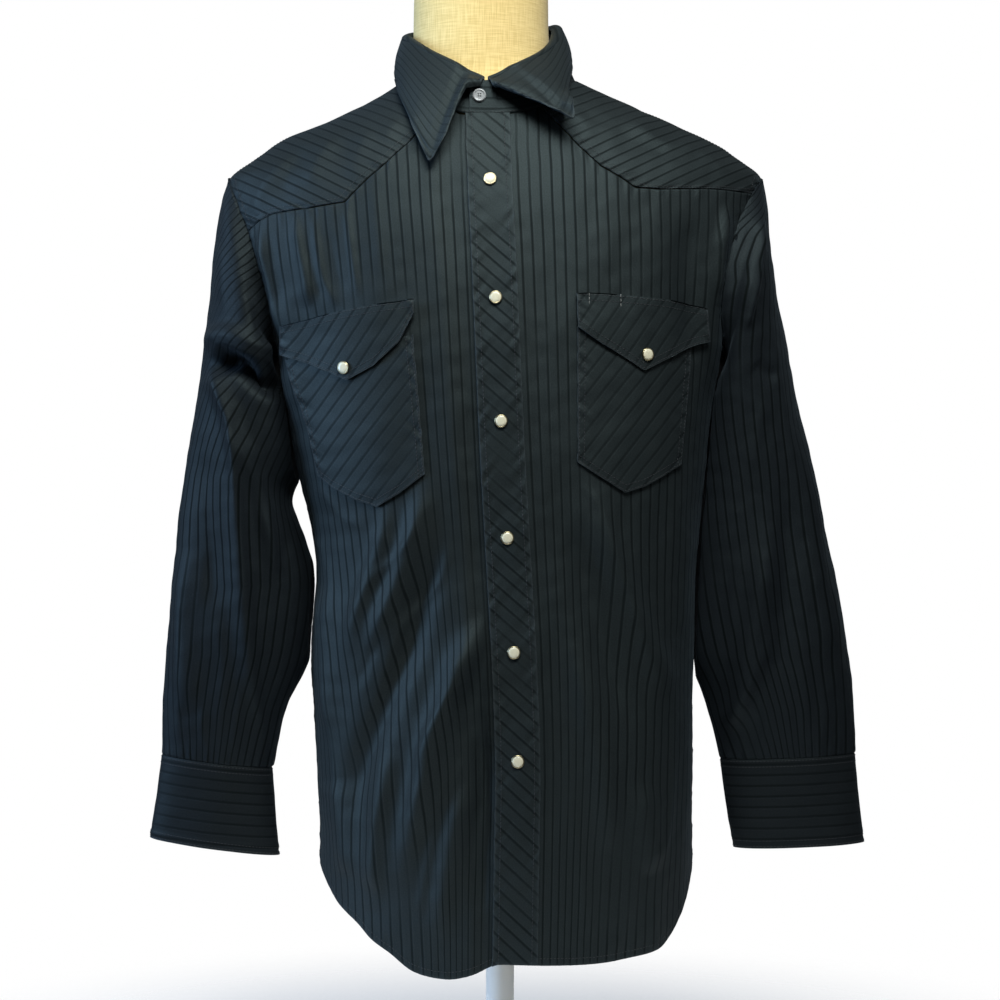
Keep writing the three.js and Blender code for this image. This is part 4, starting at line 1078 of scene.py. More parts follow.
def front_top(side, u, corner):
    strip = strip_edge(side, neckline_at(0))
    seam_start = yoke_seam_points(side, 0.0)[0]
    neck_angle = np.interp(u, [0, STRIP_SHARE, NECK_SHARE], [corner[0], strip, seam_start])
    neck = stack(neck_angle, neckline_at(neck_angle))
    seam = yoke_seam_points(side, np.clip((u - NECK_SHARE) / (1 - NECK_SHARE), 0, 1))
    return np.where((u < NECK_SHARE)[:, None], neck, seam)


def front(side):
    u = spaced(120, 1 / 260)
    v = spaced(230, 1 / 700)
    hem_start = float(hem_at(0)) + (2 if side == RIGHT else 0)
    z = mix(hem_start, float(neckline_at(0)), v)
    offset = -PLACKET_HALF if side == LEFT else PLACKET_HALF - 4
    centre = stack(angle_of(row_at(BODY, "z", z).mid + offset, z), z)
    below, above = shares(v, SEAM_SHARE)
    side_seam = stack(np.full(len(v), side * 90.0), mix(float(hem_at(side * 90)), UNDERARM_Z, below))
    arm = armhole(side, mix(180, ARMHOLE[side].yoke, above))
    outer = np.where((v < SEAM_SHARE)[:, None], side_seam, arm)
    strip = float(strip_edge(side, hem_start))
    hem_angle = np.interp(u, [0, STRIP_SHARE, 1], [centre[0, 0], strip, side * 90])
    hem = stack(hem_angle, hem_at(hem_angle))
    hem[0, 1] = hem_start
    places = blend(hem, front_top(side, u, centre[-1]), centre, outer, u, v)
    angle, z = places[..., 0], places[..., 1]
    sink = -UNDERLAP * smooth(angle, -13, -8) if side == RIGHT else 0
    points = body(angle, z, sink)
    s = girth(angle, z)
    shift = row_at(SLANT[side], "z", z).shift * smooth(abs(s), 15, 80)
    st = stack(s - shift, z)
    return cloth_piece(
        f"front_{SIDE_NAME[side]}", points, st, CLOTH, outward=side, seams=["top", "right"], hems=["bottom"],
        puckers=[("top", 11 + side), ("bottom", 21 + side), ("right", 31 + side)],
    )


def front_yoke(side):
    u = spaced(120, 1 / 220)
    v = spaced(60, 1 / 90)
    seam = yoke_seam_points(side, u)
    arm = armhole(side, mix(ARMHOLE[side].yoke, SHOULDER_SEAM, v))
    tip_angle, tip_z = arm[-1]
    shoulder = stack(np.full(len(u), tip_angle), mix(float(neckline_at(tip_angle)), tip_z, u))
    neck_angle = mix(seam[0, 0], tip_angle, v)
    neck = stack(neck_angle, neckline_at(neck_angle))
    places = blend(seam, shoulder, neck, arm, u, v)
    points = body(places[..., 0], places[..., 1], 0)
    st = turned(stack(-side * points[..., 0], points[..., 2] * 1.25), 56)
    return cloth_piece(
        f"yoke_front_{SIDE_NAME[side]}", points, st, CLOTH, outward=side,
        seams=["bottom", "left", "right", "top"], puckers=[("bottom", 41 + side), ("right", 43 + side)],
    )


# Back: angles run from the wearer's left side, round behind, to the right side
BACK_SEAM_SHARE = 14 / 19  # share of the back's outer edge that is the side seam
YOKE_ARM_SHARE = 0.42  # share of the back yoke's outer edge that lies on the armhole


def back_yoke_z(angle):
    return BACK_YOKE_Z - BACK_YOKE_DROP * np.maximum(0, 1 - abs(angle - 180) / 62) ** 1.1


def behind(side, place):
    return place if side == LEFT else place + np.array([360.0, 0.0])


def back_yoke_seam(start, end, u):
    angle = mix(start[0], end[0], u)
    trim = mix(start[1] - back_yoke_z(start[0]), end[1] - back_yoke_z(end[0]), u)
    return stack(angle, back_yoke_z(angle) + trim)


def wrapped(angle):
    return np.where(np.asarray(angle) > 180, np.asarray(angle) - 360, angle)


def back():
    u = spaced(190, 1 / 520)
    v = spaced(210, 1 / 640)
    below, above = shares(v, BACK_SEAM_SHARE)

    def edge(side):
        seam_z = mix(float(hem_at(90)), UNDERARM_Z, below)
        seam = stack(np.full(len(v), 90.0 if side == LEFT else 270.0), seam_z)
        turn = mix(180, 360 - ARMHOLE[side].back_yoke, above)
        return np.where((v < BACK_SEAM_SHARE)[:, None], seam, behind(side, armhole(side, turn)))

    left, right = edge(LEFT), edge(RIGHT)
    angle = mix(90, 270, u)
    places = blend(stack(angle, hem_at(angle)), back_yoke_seam(left[-1], right[-1], u), left, right, u, v)
    angle, z = places[..., 0], places[..., 1]
    points = body(angle, z)
    half_round = girth(np.full(z.shape, 180.0), z)
    around = np.where(angle > 180, girth(wrapped(angle), z) + 2 * half_round, girth(angle, z))
    st = stack(around - half_round, z)
    return cloth_piece("back", points, st, CLOTH, seams=["top", "left", "right"], hems=["bottom"],
                       puckers=[("top", 51), ("bottom", 52), ("left", 53), ("right", 54)])


def back_yoke():
    u = spaced(170, 1 / 420)
    v = spaced(90, 1 / 160)
    below, above = shares(v, YOKE_ARM_SHARE)

    def edge(side):
        cut = ARMHOLE[side].back_yoke
        turn = mix(360 - cut, 360 + SHOULDER_SEAM, below)
        arm = behind(side, armhole(side, turn))
        end = behind(side, armhole(side, 360 + SHOULDER_SEAM))
        top = float(neckline_at(wrapped(end[0])))
        shoulder = stack(np.full(len(v), end[0]), mix(end[1], top, above))
        return np.where((v < YOKE_ARM_SHARE)[:, None], arm, shoulder)

    left, right = edge(LEFT), edge(RIGHT)
    angle = mix(left[-1, 0], right[-1, 0], u)
    top = stack(angle, neckline_at(wrapped(angle)))
    places = blend(back_yoke_seam(left[0], right[0], u), top, left, right, u, v)
    points = body(places[..., 0], places[..., 1])
    up = lengths(points, 1)
    st = stack(up - up[:, -1:], points[..., 0])
    return cloth_piece("yoke_back", points, st, CLOTH, seams=["bottom", "left", "right", "top"],
                       puckers=[("bottom", 61)])


# Sleeves
SLEEVE_OUT = 1.2 + 1.1
SLEEVE_SINK = 1.3  # the sleeve starts this much lower at the shoulder
SLEEVE_OFF = 3.4
CAP = 0.28


def ring_point(row, turn):
    s, c = sin(turn), cos(turn)
    depth = np.where(s > 0, row.front, row.back)
    return stack(
        (row.outerX + row.innerX) / 2 + (row.outerX - row.innerX) / 2 * c,
        -depth * s,
        (row.outerZ + row.innerZ) / 2 + (row.outerZ - row.innerZ) / 2 * c,
    )


def keep_off(p, gap):
    """Moves points of a sleeve away from the body where they are nearer than gap."""
    row = row_at(BODY, "z", p[..., 2])
    size = np.hypot(p[..., 0] - row.mid, p[..., 1])
    lack = 1 + gap / size - share(p)
    lack = np.where((lack > 0) & (p[..., 2] < SHOULDER_Z + 5), lack, 0)
    return p + stack((p[..., 0] - row.mid) * lack, p[..., 1] * lack, 0 * lack)


class SleeveSurface:
    """A sleeve that starts on the armhole's outline and goes over into its own sections."""

    def __init__(self, side):
        self.side = side
        self.rows = SLEEVE[side]
        first = SimpleNamespace(**{name: column[0] for name, column in self.rows.items()})
        self.turns = np.linspace(0, 360, 1441)
        place = armhole(side, self.turns)
        out = SLEEVE_OUT - SLEEVE_SINK * ((1 + cos(self.turns)) / 2) ** 6
        plain_folds = body(place[:, 0], place[:, 1], out)
        self.offsets = plain_folds - ring_point(first, self.turns)

    def base(self, turn, along):
        leave = (1 - np.clip(along / CAP, 0, 1)) ** 2
        point = ring_point(station_at(self.rows, along), turn)
        offset = stack(*[np.interp(turn % 360, self.turns, self.offsets[:, k]) for k in range(3)])
        return keep_off(point + offset * leave[..., None], SLEEVE_OFF * smooth(along, 0, 0.12))

    def __call__(self, turn, along, lift=0):
        turn, along = np.broadcast_arrays(np.asarray(turn, float), np.asarray(along, float))
        point = self.base(turn, along)
        normal = normal_of(self.base, turn, along, 0.02, 0.0002, self.side)
        still = smooth(along, 0.02, 0.12) * smooth(-along, -1, -0.93)
        high = folds_at(SLEEVE_FOLDS, point, normal[..., 1]) * still + lift
        return point + normal * np.asarray(high)[..., None]


# How far the sleeve's stripes have moved sideways at each height: they slant near the shoulder.
TWIST = {
    RIGHT: table("z shift", [[290, 14], [480, 22], [620, 4], [700, -62], [840, -200]]),
    LEFT: table("z shift", [[290, -12], [560, 0], [700, 0], [770, -14], [800, -50], [840, -120]]),
}
SLEEVE_ROUND = 58  # radius at which the sleeve's stripes are spaced
TUCK = 1.04  # size of the hidden seam allowance, as a share of the armhole
TUCK_DEPTHS = (2.2, 1.0)  # how deep its two rings lie below the cloth
sleeve_surface = {side: SleeveSurface(side) for side in (RIGHT, LEFT)}


def seam_allowance(side, turn):
    """Two rings that carry the sleeve's start in under the edge of the armhole."""
    centre = np.array([side * 90.0, (SHOULDER_Z + UNDERARM_Z) / 2])
    place = armhole(side, turn)
    wider = centre + (place - centre) * TUCK
    hidden = body(wider[..., 0], wider[..., 1], -TUCK_DEPTHS[0])
    return np.concatenate([hidden, body(place[..., 0], place[..., 1], -TUCK_DEPTHS[1])], axis=1)


def sleeve_directions(side, points):
    """Round and along the sleeve by place, so that its stripes run down it."""
    rows = SLEEVE[side]
    heights = (rows["outerZ"] + rows["innerZ"])[::-1] / 2
    middle = (rows["outerX"] + rows["innerX"])[::-1] / 2
    x, y, z = np.moveaxis(points, -1, 0)
    around = np.arctan2(x - np.interp(z, heights, middle), -y) * SLEEVE_ROUND
    return stack(around + row_at(TWIST[side], "z", z).shift, z)


def sleeve(side):
    surface = sleeve_surface[side]
    turn = np.linspace(0, 360, 221)[:-1][:, None]
    v = spaced(220, 1 / 500)
    points = surface(turn, v[v > 0.0012][None, :])
    points = np.concatenate([seam_allowance(side, turn), points], axis=1)
    st = sleeve_directions(side, points)
    return cloth_piece(
        f"sleeve_{SIDE_NAME[side]}", points, st, CLOTH_SLEEVE_PAINTED_SHADE, outward=side, tube=True,
        seams=["bottom", "top"], puckers=[("bottom", 71 + side), ("top", 73 + side)],
    )


def sleeve_placket(side):
    turn = spaced(20, 1 / 26)[:, None] * 26 + 296
    along = mix(0.76, 0.99, spaced(60, 1 / 110))[None, :]
    points = sleeve_surface[side](turn, along, LAYER + PATCH)
    st = stack(lengths(points, 0), lengths(points, 1))
    return cloth_piece(f"sleeve_placket_{SIDE_NAME[side]}", points, st, CLOTH, outward=side,
                       hems=["left", "right", "bottom"], thick=PATCH_THICK, slack=0)


# Cuffs: a strip whose outer end laps over its inner end behind the outer edge of the sleeve
CUFF_LAP = 318  # degrees at which the outer end lies
CUFF_OVER = 34  # degrees by which the ends lap
CUFF_THICK = 1.4


def cuff_surface(side):
    def base(turn, along):
        return ring_point(station_at(CUFF[side], along), turn)

    def surface(turn, along, lift=0):
        turn, along = np.broadcast_arrays(np.asarray(turn, float), np.asarray(along, float))
        normal = normal_of(base, turn, along, 0.01, 0.0001, side)
        high = np.asarray(lift + 0 * turn)
        return base(turn, along) + normal * high[..., None]

    return surface


def cuff_spiral(turn):
    start = CUFF_LAP + 360 - CUFF_OVER
    return (CUFF_THICK + TOUCH) * smooth(turn, start - 30, start)


def cuff(side):
    surface = cuff_surface(side)
    turn = mix(CUFF_LAP, CUFF_LAP + 360 + CUFF_OVER - 20, spaced(170, 1 / 250))[:, None]
    along = spaced(56, 1 / 80)[None, :]
    points = surface(turn, along, cuff_spiral(turn))
    st = stack(lengths(points, 1), lengths(points, 0))
    return cloth_piece(f"cuff_{SIDE_NAME[side]}", points, st, CLOTH_CUFF_PAINTED_SHADE, outward=side, thick=CUFF_THICK,
                       seams=["bottom"], hems=["top", "left", "right"], slack=0.6,
                       puckers=[("top", 81 + side)])


# Strip, pockets and flaps on the fronts
def placket():
    across = spaced(24, 1 / 38)[:, None] * 2 - 1
    v = spaced(260, 1 / 720)[None, :]
    z = mix(float(hem_at(0)) + 0.5, float(neckline_at(0)) - 0.5, v) + 0 * across
    angle = angle_of(row_at(BODY, "z", z).mid + across * (PLACKET_HALF - 0.4), z)
    points = body(angle, z, PLACKET_LIFT + PATCH)
    st = turned(stack(across * PLACKET_HALF, z), 48)
    return cloth_piece("front_placket", points, st, CLOTH, thick=PATCH_THICK,
                       hems=["left", "right", "bottom"], puckers=[("left", 91), ("right", 92)])


def on_front(node, columns, lift, tilt, seams):
    """A pocket or flap on a front, its stripes slanted by tilt."""
    u = spaced(70, 1 / 100)
    v = spaced(60, 1 / 90)[None, :]
    row = station_at(columns, u, curved=False)
    x = mix(row.x[:, None], row.topX[:, None], v)
    z = mix(row.low[:, None], row.top[:, None], v)
    points = body(angle_of(x, z), z, lift + PATCH)
    st = turned(stack(x, z), tilt)
    return cloth_piece(node, points, st, CLOTH_POCKET, thick=PATCH_THICK, seams=seams, groove=0.25,
                       hems=["left", "right", "bottom"], puckers=[("left", 5), ("right", 6)])


# Collar
STAND_WALL = 1.6
LEAF_WALL = 1.6
COLLAR_MIDDLE = np.array([-13.0, -4.0, 0.0])
STAND_INSIDE = 0.9
STAND_RAISED = 0.7
STAND_START = 8
STAND_END = -366
ROLL = 0.2
LEAF_BOW = 3
LEAF_OFF = 3.5
LEAF_CLEAR_Z = 919  # above this the leaf hangs clear of the yoke
LEAF_CURL = 6.0
COLLAR_SLANT = 14  # the collar's stripes run along it, turned by this much


def outwards(p):
    return unit((p - COLLAR_MIDDLE) * np.array([1.0, 1.0, 0.0]))


def stand_spiral(angle):
    return (STAND_WALL + TOUCH) * smooth(-np.asarray(angle, float), 330, 352)


def stand_point(angle, up, lift=0):
    angle, up = np.broadcast_arrays(np.asarray(angle, float), np.asarray(up, float))
    row = row_at(COLLAR, "angle", np.clip(angle, -357, -3))
    around = np.where(angle < -180, angle + 360, angle)
    foot = body_base(around, neckline_at(around))
    foot = foot - outwards(foot) * STAND_INSIDE + np.array([0, 0, STAND_RAISED])
    top = stack(row.foldX, row.foldY, row.foldZ)
    ends = ((angle > -3) | (angle < -357))[..., None]
    top = np.where(ends, foot + np.array([0.0, 4.0, 28.0]), top)
    point = mix(foot, top, up[..., None])
    return point + outwards(point) * np.asarray(lift + 0 * up)[..., None]


def collar_stand():
    angle = mix(STAND_START, STAND_END, spaced(220, 1 / 480))[:, None]
    up = np.concatenate([[-0.09, -0.04], spaced(24, 1 / 35)])[None, :]
    points = stand_point(angle, up, stand_spiral(angle))
    st = stack(lengths(points, 1), lengths(points, 0))
    return cloth_piece("collar_stand", points, st, CLOTH_POCKET, outward=-1, thick=STAND_WALL, slack=0.3,
                       seams=["bottom"], hems=["left", "right"], groove=0.3)


def roll_point(angle, turn, lift):
    row = row_at(COLLAR, "angle", angle)
    fold = stack(row.foldX, row.foldY, row.foldZ)
    out = outwards(fold)
    radius = STAND_WALL / 2 + 1.2 + lift
    reach = stand_spiral(angle) - STAND_WALL / 2 - np.cos(turn) * radius
    rise = np.sin(turn) * radius - 1.5 * (1 - turn / math.pi) + 0.8
    return fold + out * reach[..., None] + np.array([0, 0, 1.0]) * rise[..., None]


def leaf_point(angle, across, lift):
    angle, across = np.broadcast_arrays(np.asarray(angle, float), np.asarray(across, float))
    rolled = roll_point(angle, np.clip(across / ROLL, 0, 1) * math.pi, lift)
    f = np.clip((across - ROLL) / (1 - ROLL), 0, 1)
    row = row_at(COLLAR, "angle", angle)
    edge = stack(row.edgeX, row.edgeY, row.edgeZ)
    point = mix(roll_point(angle, np.full(angle.shape, math.pi), 0.0), edge, f[..., None])
    normal = outwards(point)
    normal = unit(normal + np.array([0, 0, 0.35]))
    point = point + normal * (LEAF_BOW * np.sin(math.pi * f))[..., None]
    raised = point
    for _ in range(60):
        low = (raised[..., 2] < LEAF_CLEAR_Z) & (share(raised) < 1 + LEAF_OFF * f / 80)
        raised = raised + np.array([0, 0, 0.5]) * low[..., None]
    point = mix(point, raised, smooth(f, 0.1, 0.45)[..., None])
    # The outer edge of the wearer's left leaf curls up.
    curl = smooth(-angle, 300, 334) * smooth(f, 0.76, 1.0)
    point = point + normal * (LEAF_CURL * curl)[..., None] + np.array([0, 0, 1.0]) * curl[..., None]
    return np.where((across <= ROLL)[..., None], rolled, point + normal * lift)


def collar_leaf():
    angle = mix(-3.5, -356.5, spaced(300, 1 / 500))[:, None]
    across = np.unique(np.concatenate([np.linspace(0, ROLL, 14), mix(ROLL, 1, spaced(60, 1 / 75))]).round(6))
    points = leaf_point(angle, across[None, :], LEAF_WALL)
    along, down = lengths(points, 0), lengths(points, 1)
    half = (along[-1:] + 0 * along) / 2
    st = turned(stack(down, np.where(along < half, along, 2 * half - along)), COLLAR_SLANT)
    return cloth_piece("collar_leaf", points, st, CLOTH_POCKET, outward=-1, thick=LEAF_WALL, slack=0.35,
                       hems=["top", "left", "right"], puckers=[("top", 101)])


# Stitching
def rail(piece, edge, inset):
    """A line on a piece at a distance from one of its edges, with the cloth's normals."""
    points, normals = piece.outer, piece.normals
    if edge in ("left", "right"):
        points, normals = points.transpose(1, 0, 2), normals.transpose(1, 0, 2)
    if edge in ("top", "right"):
        points, normals = points[:, ::-1], normals[:, ::-1]
    along = lengths(points, 1)
    line, facing = [], []
    for column, normal, far in zip(points, normals, along):
        line.append([np.interp(inset, far, column[:, k]) for k in range(3)])
        facing.append([np.interp(inset, far, normal[:, k]) for k in range(3)])
    return np.array(line), unit(np.array(facing))


STITCH_LONG = 2.3
STITCH_PITCH = 3.1
STITCH_RADIUS = 0.26
RING = 6  # points round a stitch


def stitch_parts(line, facing, trim=0, closed=False, pitch=STITCH_PITCH, long=STITCH_LONG):
    """Small rounded stitches along a line, half sunk in the cloth."""
    if closed:
        line, facing = np.concatenate([line, line[:1]]), np.concatenate([facing, facing[:1]])
    along = np.concatenate([[0], np.cumsum(np.linalg.norm(np.diff(line, axis=0), axis=1))])
    count = int((along[-1] - 2 * trim) / pitch)
    if count < 1:
        return []
    centres = trim + (np.arange(count) + 0.5) * (along[-1] - 2 * trim) / count

    def on(rows, shift=0):
        return stack(*[np.interp(centres + shift, along, rows[:, k]) for k in range(3)])

    place = on(line)
    up = unit(on(facing))
    forward = unit(on(line, 0.5) - on(line, -0.5))
    side = unit(np.cross(up, forward))
    parts = []
    for at, full in ((-0.5, 0.35), (-0.3, 1.0), (0.3, 1.0), (0.5, 0.35)):
        for k in range(RING):
            turn = math.tau * k / RING
            swing = side * (math.cos(turn) * STITCH_RADIUS) + up * (math.sin(turn) * STITCH_RADIUS * 0.8)
            sink = up * (0.12 if abs(at) < 0.4 else -0.05)
            parts.append(place + forward * (at * long) + swing * full + sink)
    return [np.stack(parts, axis=1)]


def stitches(name, groups, material):
    """One object from many stitches, each a small closed sleeve of four rings."""
    all_points = np.concatenate(groups)
    count, each = all_points.shape[:2]
    faces = []
    for ring in range(3):
        for k in range(RING):
            a, b = ring * RING + k, ring * RING + (k + 1) % RING
            faces.append([a, b, b + RING, a + RING])
    for k in (1, 3):
        faces.append([0, (k + 2) % RING, k + 1, k])
        top = 3 * RING
        faces.append([top, top + k, top + k + 1, top + (k + 2) % RING])
    faces = np.array(faces)
    index = (faces[None] + (np.arange(count) * each)[:, None, None]).reshape(-1, 4)
    piece = mesh_object(name, all_points.reshape(-1, 3), index, material)
    return place_piece(piece, None)


def pen_slot():
    """Pale stitches at both ends of the slot for a pen in the wearer's left flap."""
    lines = []
    for x, low, high in PEN_SLOT:
        z = np.linspace(low, high, 5)
        angle = angle_of(x, z)
        points = body(angle, z, FLAP_LIFT + PATCH + 0.25)
        lines.extend(stitch_parts(points, normal_of(body, angle, z, 0.02, 0.02, 1), pitch=3.3, long=2.9))
    stitches("pen_slot_stitching", lines, WHITE_THREAD)


# Rows of stitches: the piece, its edges, how far each row lies from them, and what is left off at both
# ends. The first list is sewn on the wearer's right, then on the left.
SIDE_ROWS = [
    ("yoke_front_", "bottom", [1.6, 6.5], 0),
    ("yoke_front_", "right", [7.5], 0),
    ("yoke_front_", "top", [1.6], 0),
    ("front_", "bottom", [6.0], 0),
    ("pocket_", "left right bottom", [1.5, 6.5], 2),
    ("flap_", "bottom top", [1.6, 6.5], 2),
    ("flap_", "left right", [1.6], 2),
    ("cuff_", "bottom top", [1.8, 6.8], 2),
    ("cuff_", "right", [1.8], 2),
    ("sleeve_placket_", "left right", [1.5], 1),
]
MIDDLE_ROWS = [
    ("yoke_back", "bottom", [1.6, 6.5], 0),
    ("back", "bottom", [6.0], 0),
    ("front_placket", "left right", [5.0], 0),
    ("collar_leaf", "top left right", [5.5], 5),
    ("collar_stand", "bottom", [1.6], 0),
]


def sew():
    rows = [(node + SIDE_NAME[side], *row) for side in (RIGHT, LEFT) for node, *row in SIDE_ROWS]
    dark = []
    for node, edges, insets, trim in rows + MIDDLE_ROWS:
        for edge in edges.split():
            for inset in insets:
                line, facing = rail(pieces[node], edge, inset)
                dark.extend(stitch_parts(line, facing, trim, pieces[node].tube))
    stitches("stitching", dark, THREAD)
    pen_slot()


# Snaps and the collar button
def lathe_faces(segments, rows):
    """Faces between neighbouring columns of points, the last column joined to the first."""
    i, j = np.meshgrid(np.arange(segments), np.arange(rows - 1), indexing="ij")
    after = (i + 1) % segments
    corners = [i * rows + j, after * rows + j, after * rows + j + 1, i * rows + j + 1]
    return np.stack(corners, axis=-1).reshape(-1, 4)


def turned_solid(outline, segments=40):
    """Points and faces of an outline of [radius, height] turned about its own Z."""
    outline = np.array(outline, float)
    angle = np.linspace(0, math.tau, segments, endpoint=False)[:, None]
    points = stack(outline[:, 0] * np.cos(angle), outline[:, 0] * np.sin(angle), outline[:, 1] + 0 * angle)
    return points.reshape(-1, 3), lathe_faces(segments, len(outline))


def seated(points, foot, up):
    """Local points moved to a foot point, their Z along up."""
    up = unit(up)
    side = unit(np.cross([0.0, 0.0, 1.0], up)) if abs(up[2]) < 0.95 else np.array([1.0, 0.0, 0.0])
    other = np.cross(up, side)
    return foot + points[:, :1] * side + points[:, 1:2] * other + points[:, 2:3] * up


SNAP_OUTLINE = [
    [0.05, 0.0],
    [4.9, 0.0],
    [5.45, 0.25],
    [5.6, 0.75],
    [5.5, 1.35],
    [5.15, 1.75],
    [4.75, 1.78],
    [4.6, 1.6],
    [4.5, 1.72],
    [4.1, 2.05],
    [3.4, 2.28],
    [2.2, 2.38],
    [1.0, 2.41],
    [0.05, 2.42],
]
RIM_ROWS = 7  # how many of the outline's steps are metal rim


def snap(node, foot, up):
    points, faces = turned_solid(SNAP_OUTLINE)
    piece = mesh_object("pearl_" + node, seated(points, foot, up), faces, [PEARL, RIM])
    column = np.tile(np.arange(len(SNAP_OUTLINE) - 1), len(faces) // (len(SNAP_OUTLINE) - 1))
    piece.data.polygons.foreach_set("material_index", (column < RIM_ROWS).astype(np.int32))
    close_ends(piece)
    place_piece(piece, node)


def close_ends(piece):
    """Closes the small holes at both ends of a turned solid."""
    mesh = bmesh.new()
    mesh.from_mesh(piece.data)
    edges = [edge for edge in mesh.edges if edge.is_boundary]
    bmesh.ops.holes_fill(mesh, edges=edges, sides=0)
    for face in mesh.faces:
        face.smooth = True
    mesh.normal_update()
    bmesh.ops.recalc_face_normals(mesh, faces=mesh.faces)
    mesh.to_mesh(piece.data)
    mesh.free()


def on_surface(surface, place, lift):
    foot, above = surface(*place, lift), surface(*place, lift + 1.0)
    return foot, above - foot


def all_snaps():
    on_placket = PLACKET_LIFT + PATCH + TOUCH
    for i, z in enumerate(FRONT_SNAP_Z):
        angle = angle_of(row_at(BODY, "z", z).mid + 0.01, z)
        snap(f"snap_front_{i + 1}", *on_surface(body, (angle, z), on_placket))
    for side in (RIGHT, LEFT):
        name = SIDE_NAME[side]
        x, z = FLAP_SNAP[side]
        snap(f"snap_flap_{name}", *on_surface(body, (angle_of(x, z), z), FLAP_LIFT + PATCH + TOUCH))
        for i, along in enumerate(CUFF_SNAPS):
            place = (CUFF_LAP + 360, along)
            over = CUFF_THICK + 2 * TOUCH + 0.3
            snap(f"snap_cuff_{name}_{i + 1}", *on_surface(cuff_surface(side), place, over))


def button_height(radius, x, y):
    """Top of the collar button: a dished middle, a raised rim and four holes."""
    high = 1.55 + 0.75 * np.exp(-(((radius - 4.7) / 0.75) ** 2))
    high = high - 1.2 * smooth(radius, 5.2, 5.8)
    for hx, hy in BUTTON_HOLES:
        high = high - 1.3 * (1 - smooth(np.hypot(x - hx, y - hy), 0.45, 0.7))
    return high


def collar_button():
    foot, above = on_surface(stand_point, (-362.6, 0.5), float(stand_spiral(-362)) + TOUCH)
    radii = np.concatenate([np.linspace(0.03, 2.4, 18), np.linspace(2.6, COLLAR_BUTTON_RADIUS, 16)])
    angle = np.linspace(0, math.tau, 96, endpoint=False)[:, None]
    x, y = radii * np.cos(angle), radii * np.sin(angle)
    top = stack(x, y, button_height(radii + 0 * angle, x, y))
    rim = stack(COLLAR_BUTTON_RADIUS * np.cos(angle), COLLAR_BUTTON_RADIUS * np.sin(angle), 0.45 + 0 * angle)
    under = stack(4.6 * np.cos(angle), 4.6 * np.sin(angle), 0 * angle)
    points = np.concatenate([top, rim, under], axis=1)
    faces = lathe_faces(*points.shape[:2])[:, [0, 3, 2, 1]]
    piece = mesh_object("button_collar", seated(points.reshape(-1, 3), foot, above), faces, BUTTON)
    close_ends(piece)
    place_piece(piece, "collar_button")


# Dress form and stand
def solid_of_rings(name, rings, material):
    rings = np.asarray(rings)
    count, around = rings.shape[:2]
    i, j = np.meshgrid(np.arange(count - 1), np.arange(around), indexing="ij")
    after = (j + 1) % around
    low, high = i * around, (i + 1) * around
    faces = np.stack([low + j, low + after, high + after, high + j], axis=-1)
    piece = mesh_object(name, rings.reshape(-1, 3), faces.reshape(-1, 4), material)
    close_ends(piece)
    return piece


def dress_form():
    z = np.concatenate([np.linspace(232, 860, 120), np.linspace(863, 1008, 100), np.linspace(1009, 1019, 12)])
    row = row_at(FORM, "z", z[:, None])
    angle = np.linspace(0, 360, 160, endpoint=False)[None, :]
    depth = np.where(cos(angle) > 0, row.front, row.back)
    rings = stack(row.mid + row.half * sin(angle), -depth * cos(angle), z[:, None] + 0 * angle)
    place_piece(solid_of_rings("form", rings, LINEN), "form_torso")


def turned_piece(name, outline, node):
    points, faces = turned_solid(outline, 128)
    piece = mesh_object(name, points, faces, PAINT)
    close_ends(piece)
    return place_piece(piece, node)


AXIS = 0.05  # radius at which an outline ends near its axis


def stand():
    turned_piece("pole", [
        [AXIS, BASE_THICK],
        [POLE_RADIUS - 0.5, BASE_THICK],
        [POLE_RADIUS, BASE_THICK + 0.5],
        [POLE_RADIUS, FORM_BOTTOM - 0.8],
        [POLE_RADIUS - 0.5, FORM_BOTTOM - 0.3],
        [AXIS, FORM_BOTTOM - 0.3],
    ], "form_pole")
    turned_piece("base", [
        [AXIS, 0],
        [BASE_RADIUS - 2, 0],
        [BASE_RADIUS - 0.5, 0.6],
        [BASE_RADIUS, 2],
        [BASE_RADIUS, BASE_THICK - 5],
        [BASE_RADIUS - 1.4, BASE_THICK - 1.6],
        [BASE_RADIUS - 5, BASE_THICK],
        [BOSS_RADIUS + 6, BASE_THICK],
        [BOSS_RADIUS + 1.6, BASE_THICK + 1.4],
        [BOSS_RADIUS, BASE_THICK + 6],
        [BOSS_RADIUS - 3, BOSS_TOP - 0.8],
        [BOSS_RADIUS - 4, BOSS_TOP],
        [POLE_RADIUS + 0.3, BOSS_TOP],
        [POLE_RADIUS + 0.3, BASE_THICK],
        [AXIS, BASE_THICK - 0.1],
    ], "form_base")


def build():
    dress_form()
    stand()
    for side in (RIGHT, LEFT):
        name = SIDE_NAME[side]
        front(side)
        front_yoke(side)
        sleeve(side)
        sleeve_placket(side)
        cuff(side)
        on_front(f"pocket_{name}", POCKET[side], POCKET_LIFT, -38, [])
        on_front(f"flap_{name}", FLAP[side], FLAP_LIFT, -34, ["top"])
    back()
    back_yoke()
    placket()
    collar_stand()
    collar_leaf()
    sew()
    all_snaps()
    collar_button()


# Sheets
def declare_cloth():
    """Works out the flat size of each piece as cut, in metres; the sizes are not kept."""
    for piece in pieces.values():
        side = lengths(piece.outer, 0)[-1].max() * MM
        down = lengths(piece.outer, 1)[:, -1].max() * MM
        area = round(max(surface_area(piece.outer, piece.tube), 0.31 * side * down), 5)


def surface_area(points, tube):
    if tube:
        points = np.concatenate([points, points[:1]])
    a = points[1:, :-1] - points[:-1, :-1]
    b = points[:-1, 1:] - points[:-1, :-1]
    return float(np.linalg.norm(np.cross(a, b), axis=-1).sum()) * MM * MM


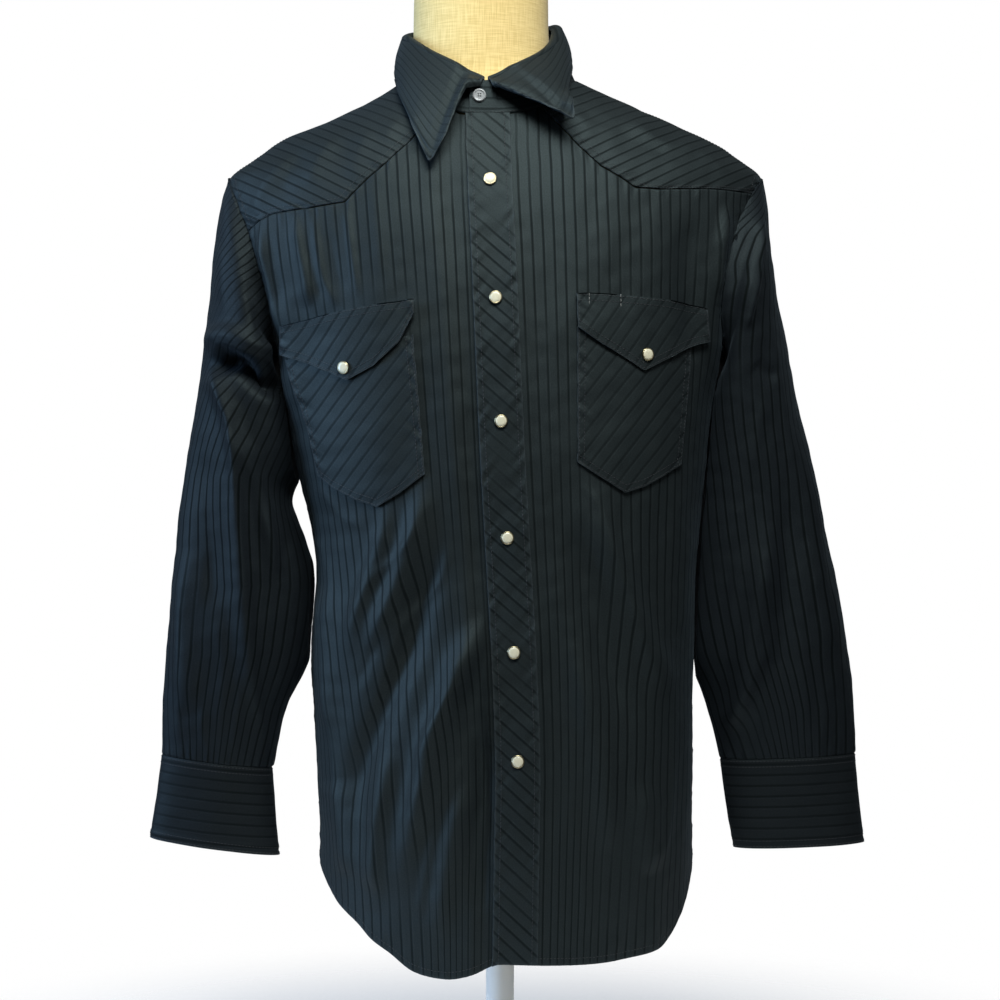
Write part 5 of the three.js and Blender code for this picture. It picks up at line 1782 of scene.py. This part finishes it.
# Camera, light and floor
def area_light(name, place, target, size, power, colour):
    data = bpy.data.lights.new(name, "AREA")
    data.shape = "RECTANGLE"
    data.size, data.size_y = size
    data.energy = power
    data.color = colour
    light = bpy.data.objects.new(name, data)
    bpy.context.scene.collection.objects.link(light)
    aim(light, place, target)


def aim(thing, place, target):
    thing.location = place
    thing.rotation_euler = (Vector(target) - Vector(place)).to_track_quat("-Z", "Y").to_euler()


def studio():
    world = bpy.data.worlds.new("studio")
    bpy.context.scene.world = world
    world.use_nodes = True
    tree = world.node_tree
    background = tree.nodes["Background"]
    background.inputs["Color"].default_value = (1.0, 1.0, 1.0, 1)
    ray = tree.nodes.new("ShaderNodeLightPath").outputs["Is Camera Ray"]
    strength = math_node(tree, "MULTIPLY_ADD", ray, 1.0 - AMBIENT, AMBIENT)
    tree.links.new(strength, background.inputs["Strength"])
    for name, settings in LIGHTS.items():
        area_light(name, *settings)
    floor()
    camera()
    bpy.context.scene.view_settings.view_transform = "Standard"


def floor():
    """A pale round floor that fades into the background towards its rim."""
    angle = np.linspace(0, math.tau, 96, endpoint=False)
    rim = stack(FLOOR_RADIUS * np.cos(angle), FLOOR_RADIUS * np.sin(angle), -0.2 + 0 * angle)
    mesh = bpy.data.meshes.new("floor")
    mesh.from_pydata((rim * MM).tolist(), [], [list(range(96))])
    piece = bpy.data.objects.new("floor", mesh)
    bpy.context.scene.collection.objects.link(piece)
    material, tree, shader = node_tree("floor")
    coordinates = tree.nodes.new("ShaderNodeTexCoord").outputs["Object"]
    distance = tree.nodes.new("ShaderNodeVectorMath")
    distance.operation = "LENGTH"
    tree.links.new(coordinates, distance.inputs[0])
    fade = smooth_step(tree, distance.outputs["Value"], 0.25, FLOOR_RADIUS * MM * 0.97)
    tree.links.new(math_node(tree, "SUBTRACT", 1.0, fade), shader.inputs["Alpha"])
    set_inputs(shader, Base_Color=(0.95, 0.95, 0.95, 1), Roughness=0.9,
               Emission_Color=(1, 1, 1, 1), Emission_Strength=0.35)
    mesh.materials.append(material)


def camera():
    scene = bpy.context.scene
    data = bpy.data.cameras.new("camera")
    data.lens = LENS
    data.sensor_width = SENSOR_WIDTH
    seen_from = bpy.data.objects.new("camera", data)
    scene.collection.objects.link(seen_from)
    seen_from.location = CAMERA_PLACE
    seen_from.rotation_euler = (math.pi / 2, 0, 0)
    scene.camera = seen_from


build()
declare_cloth()
studio()
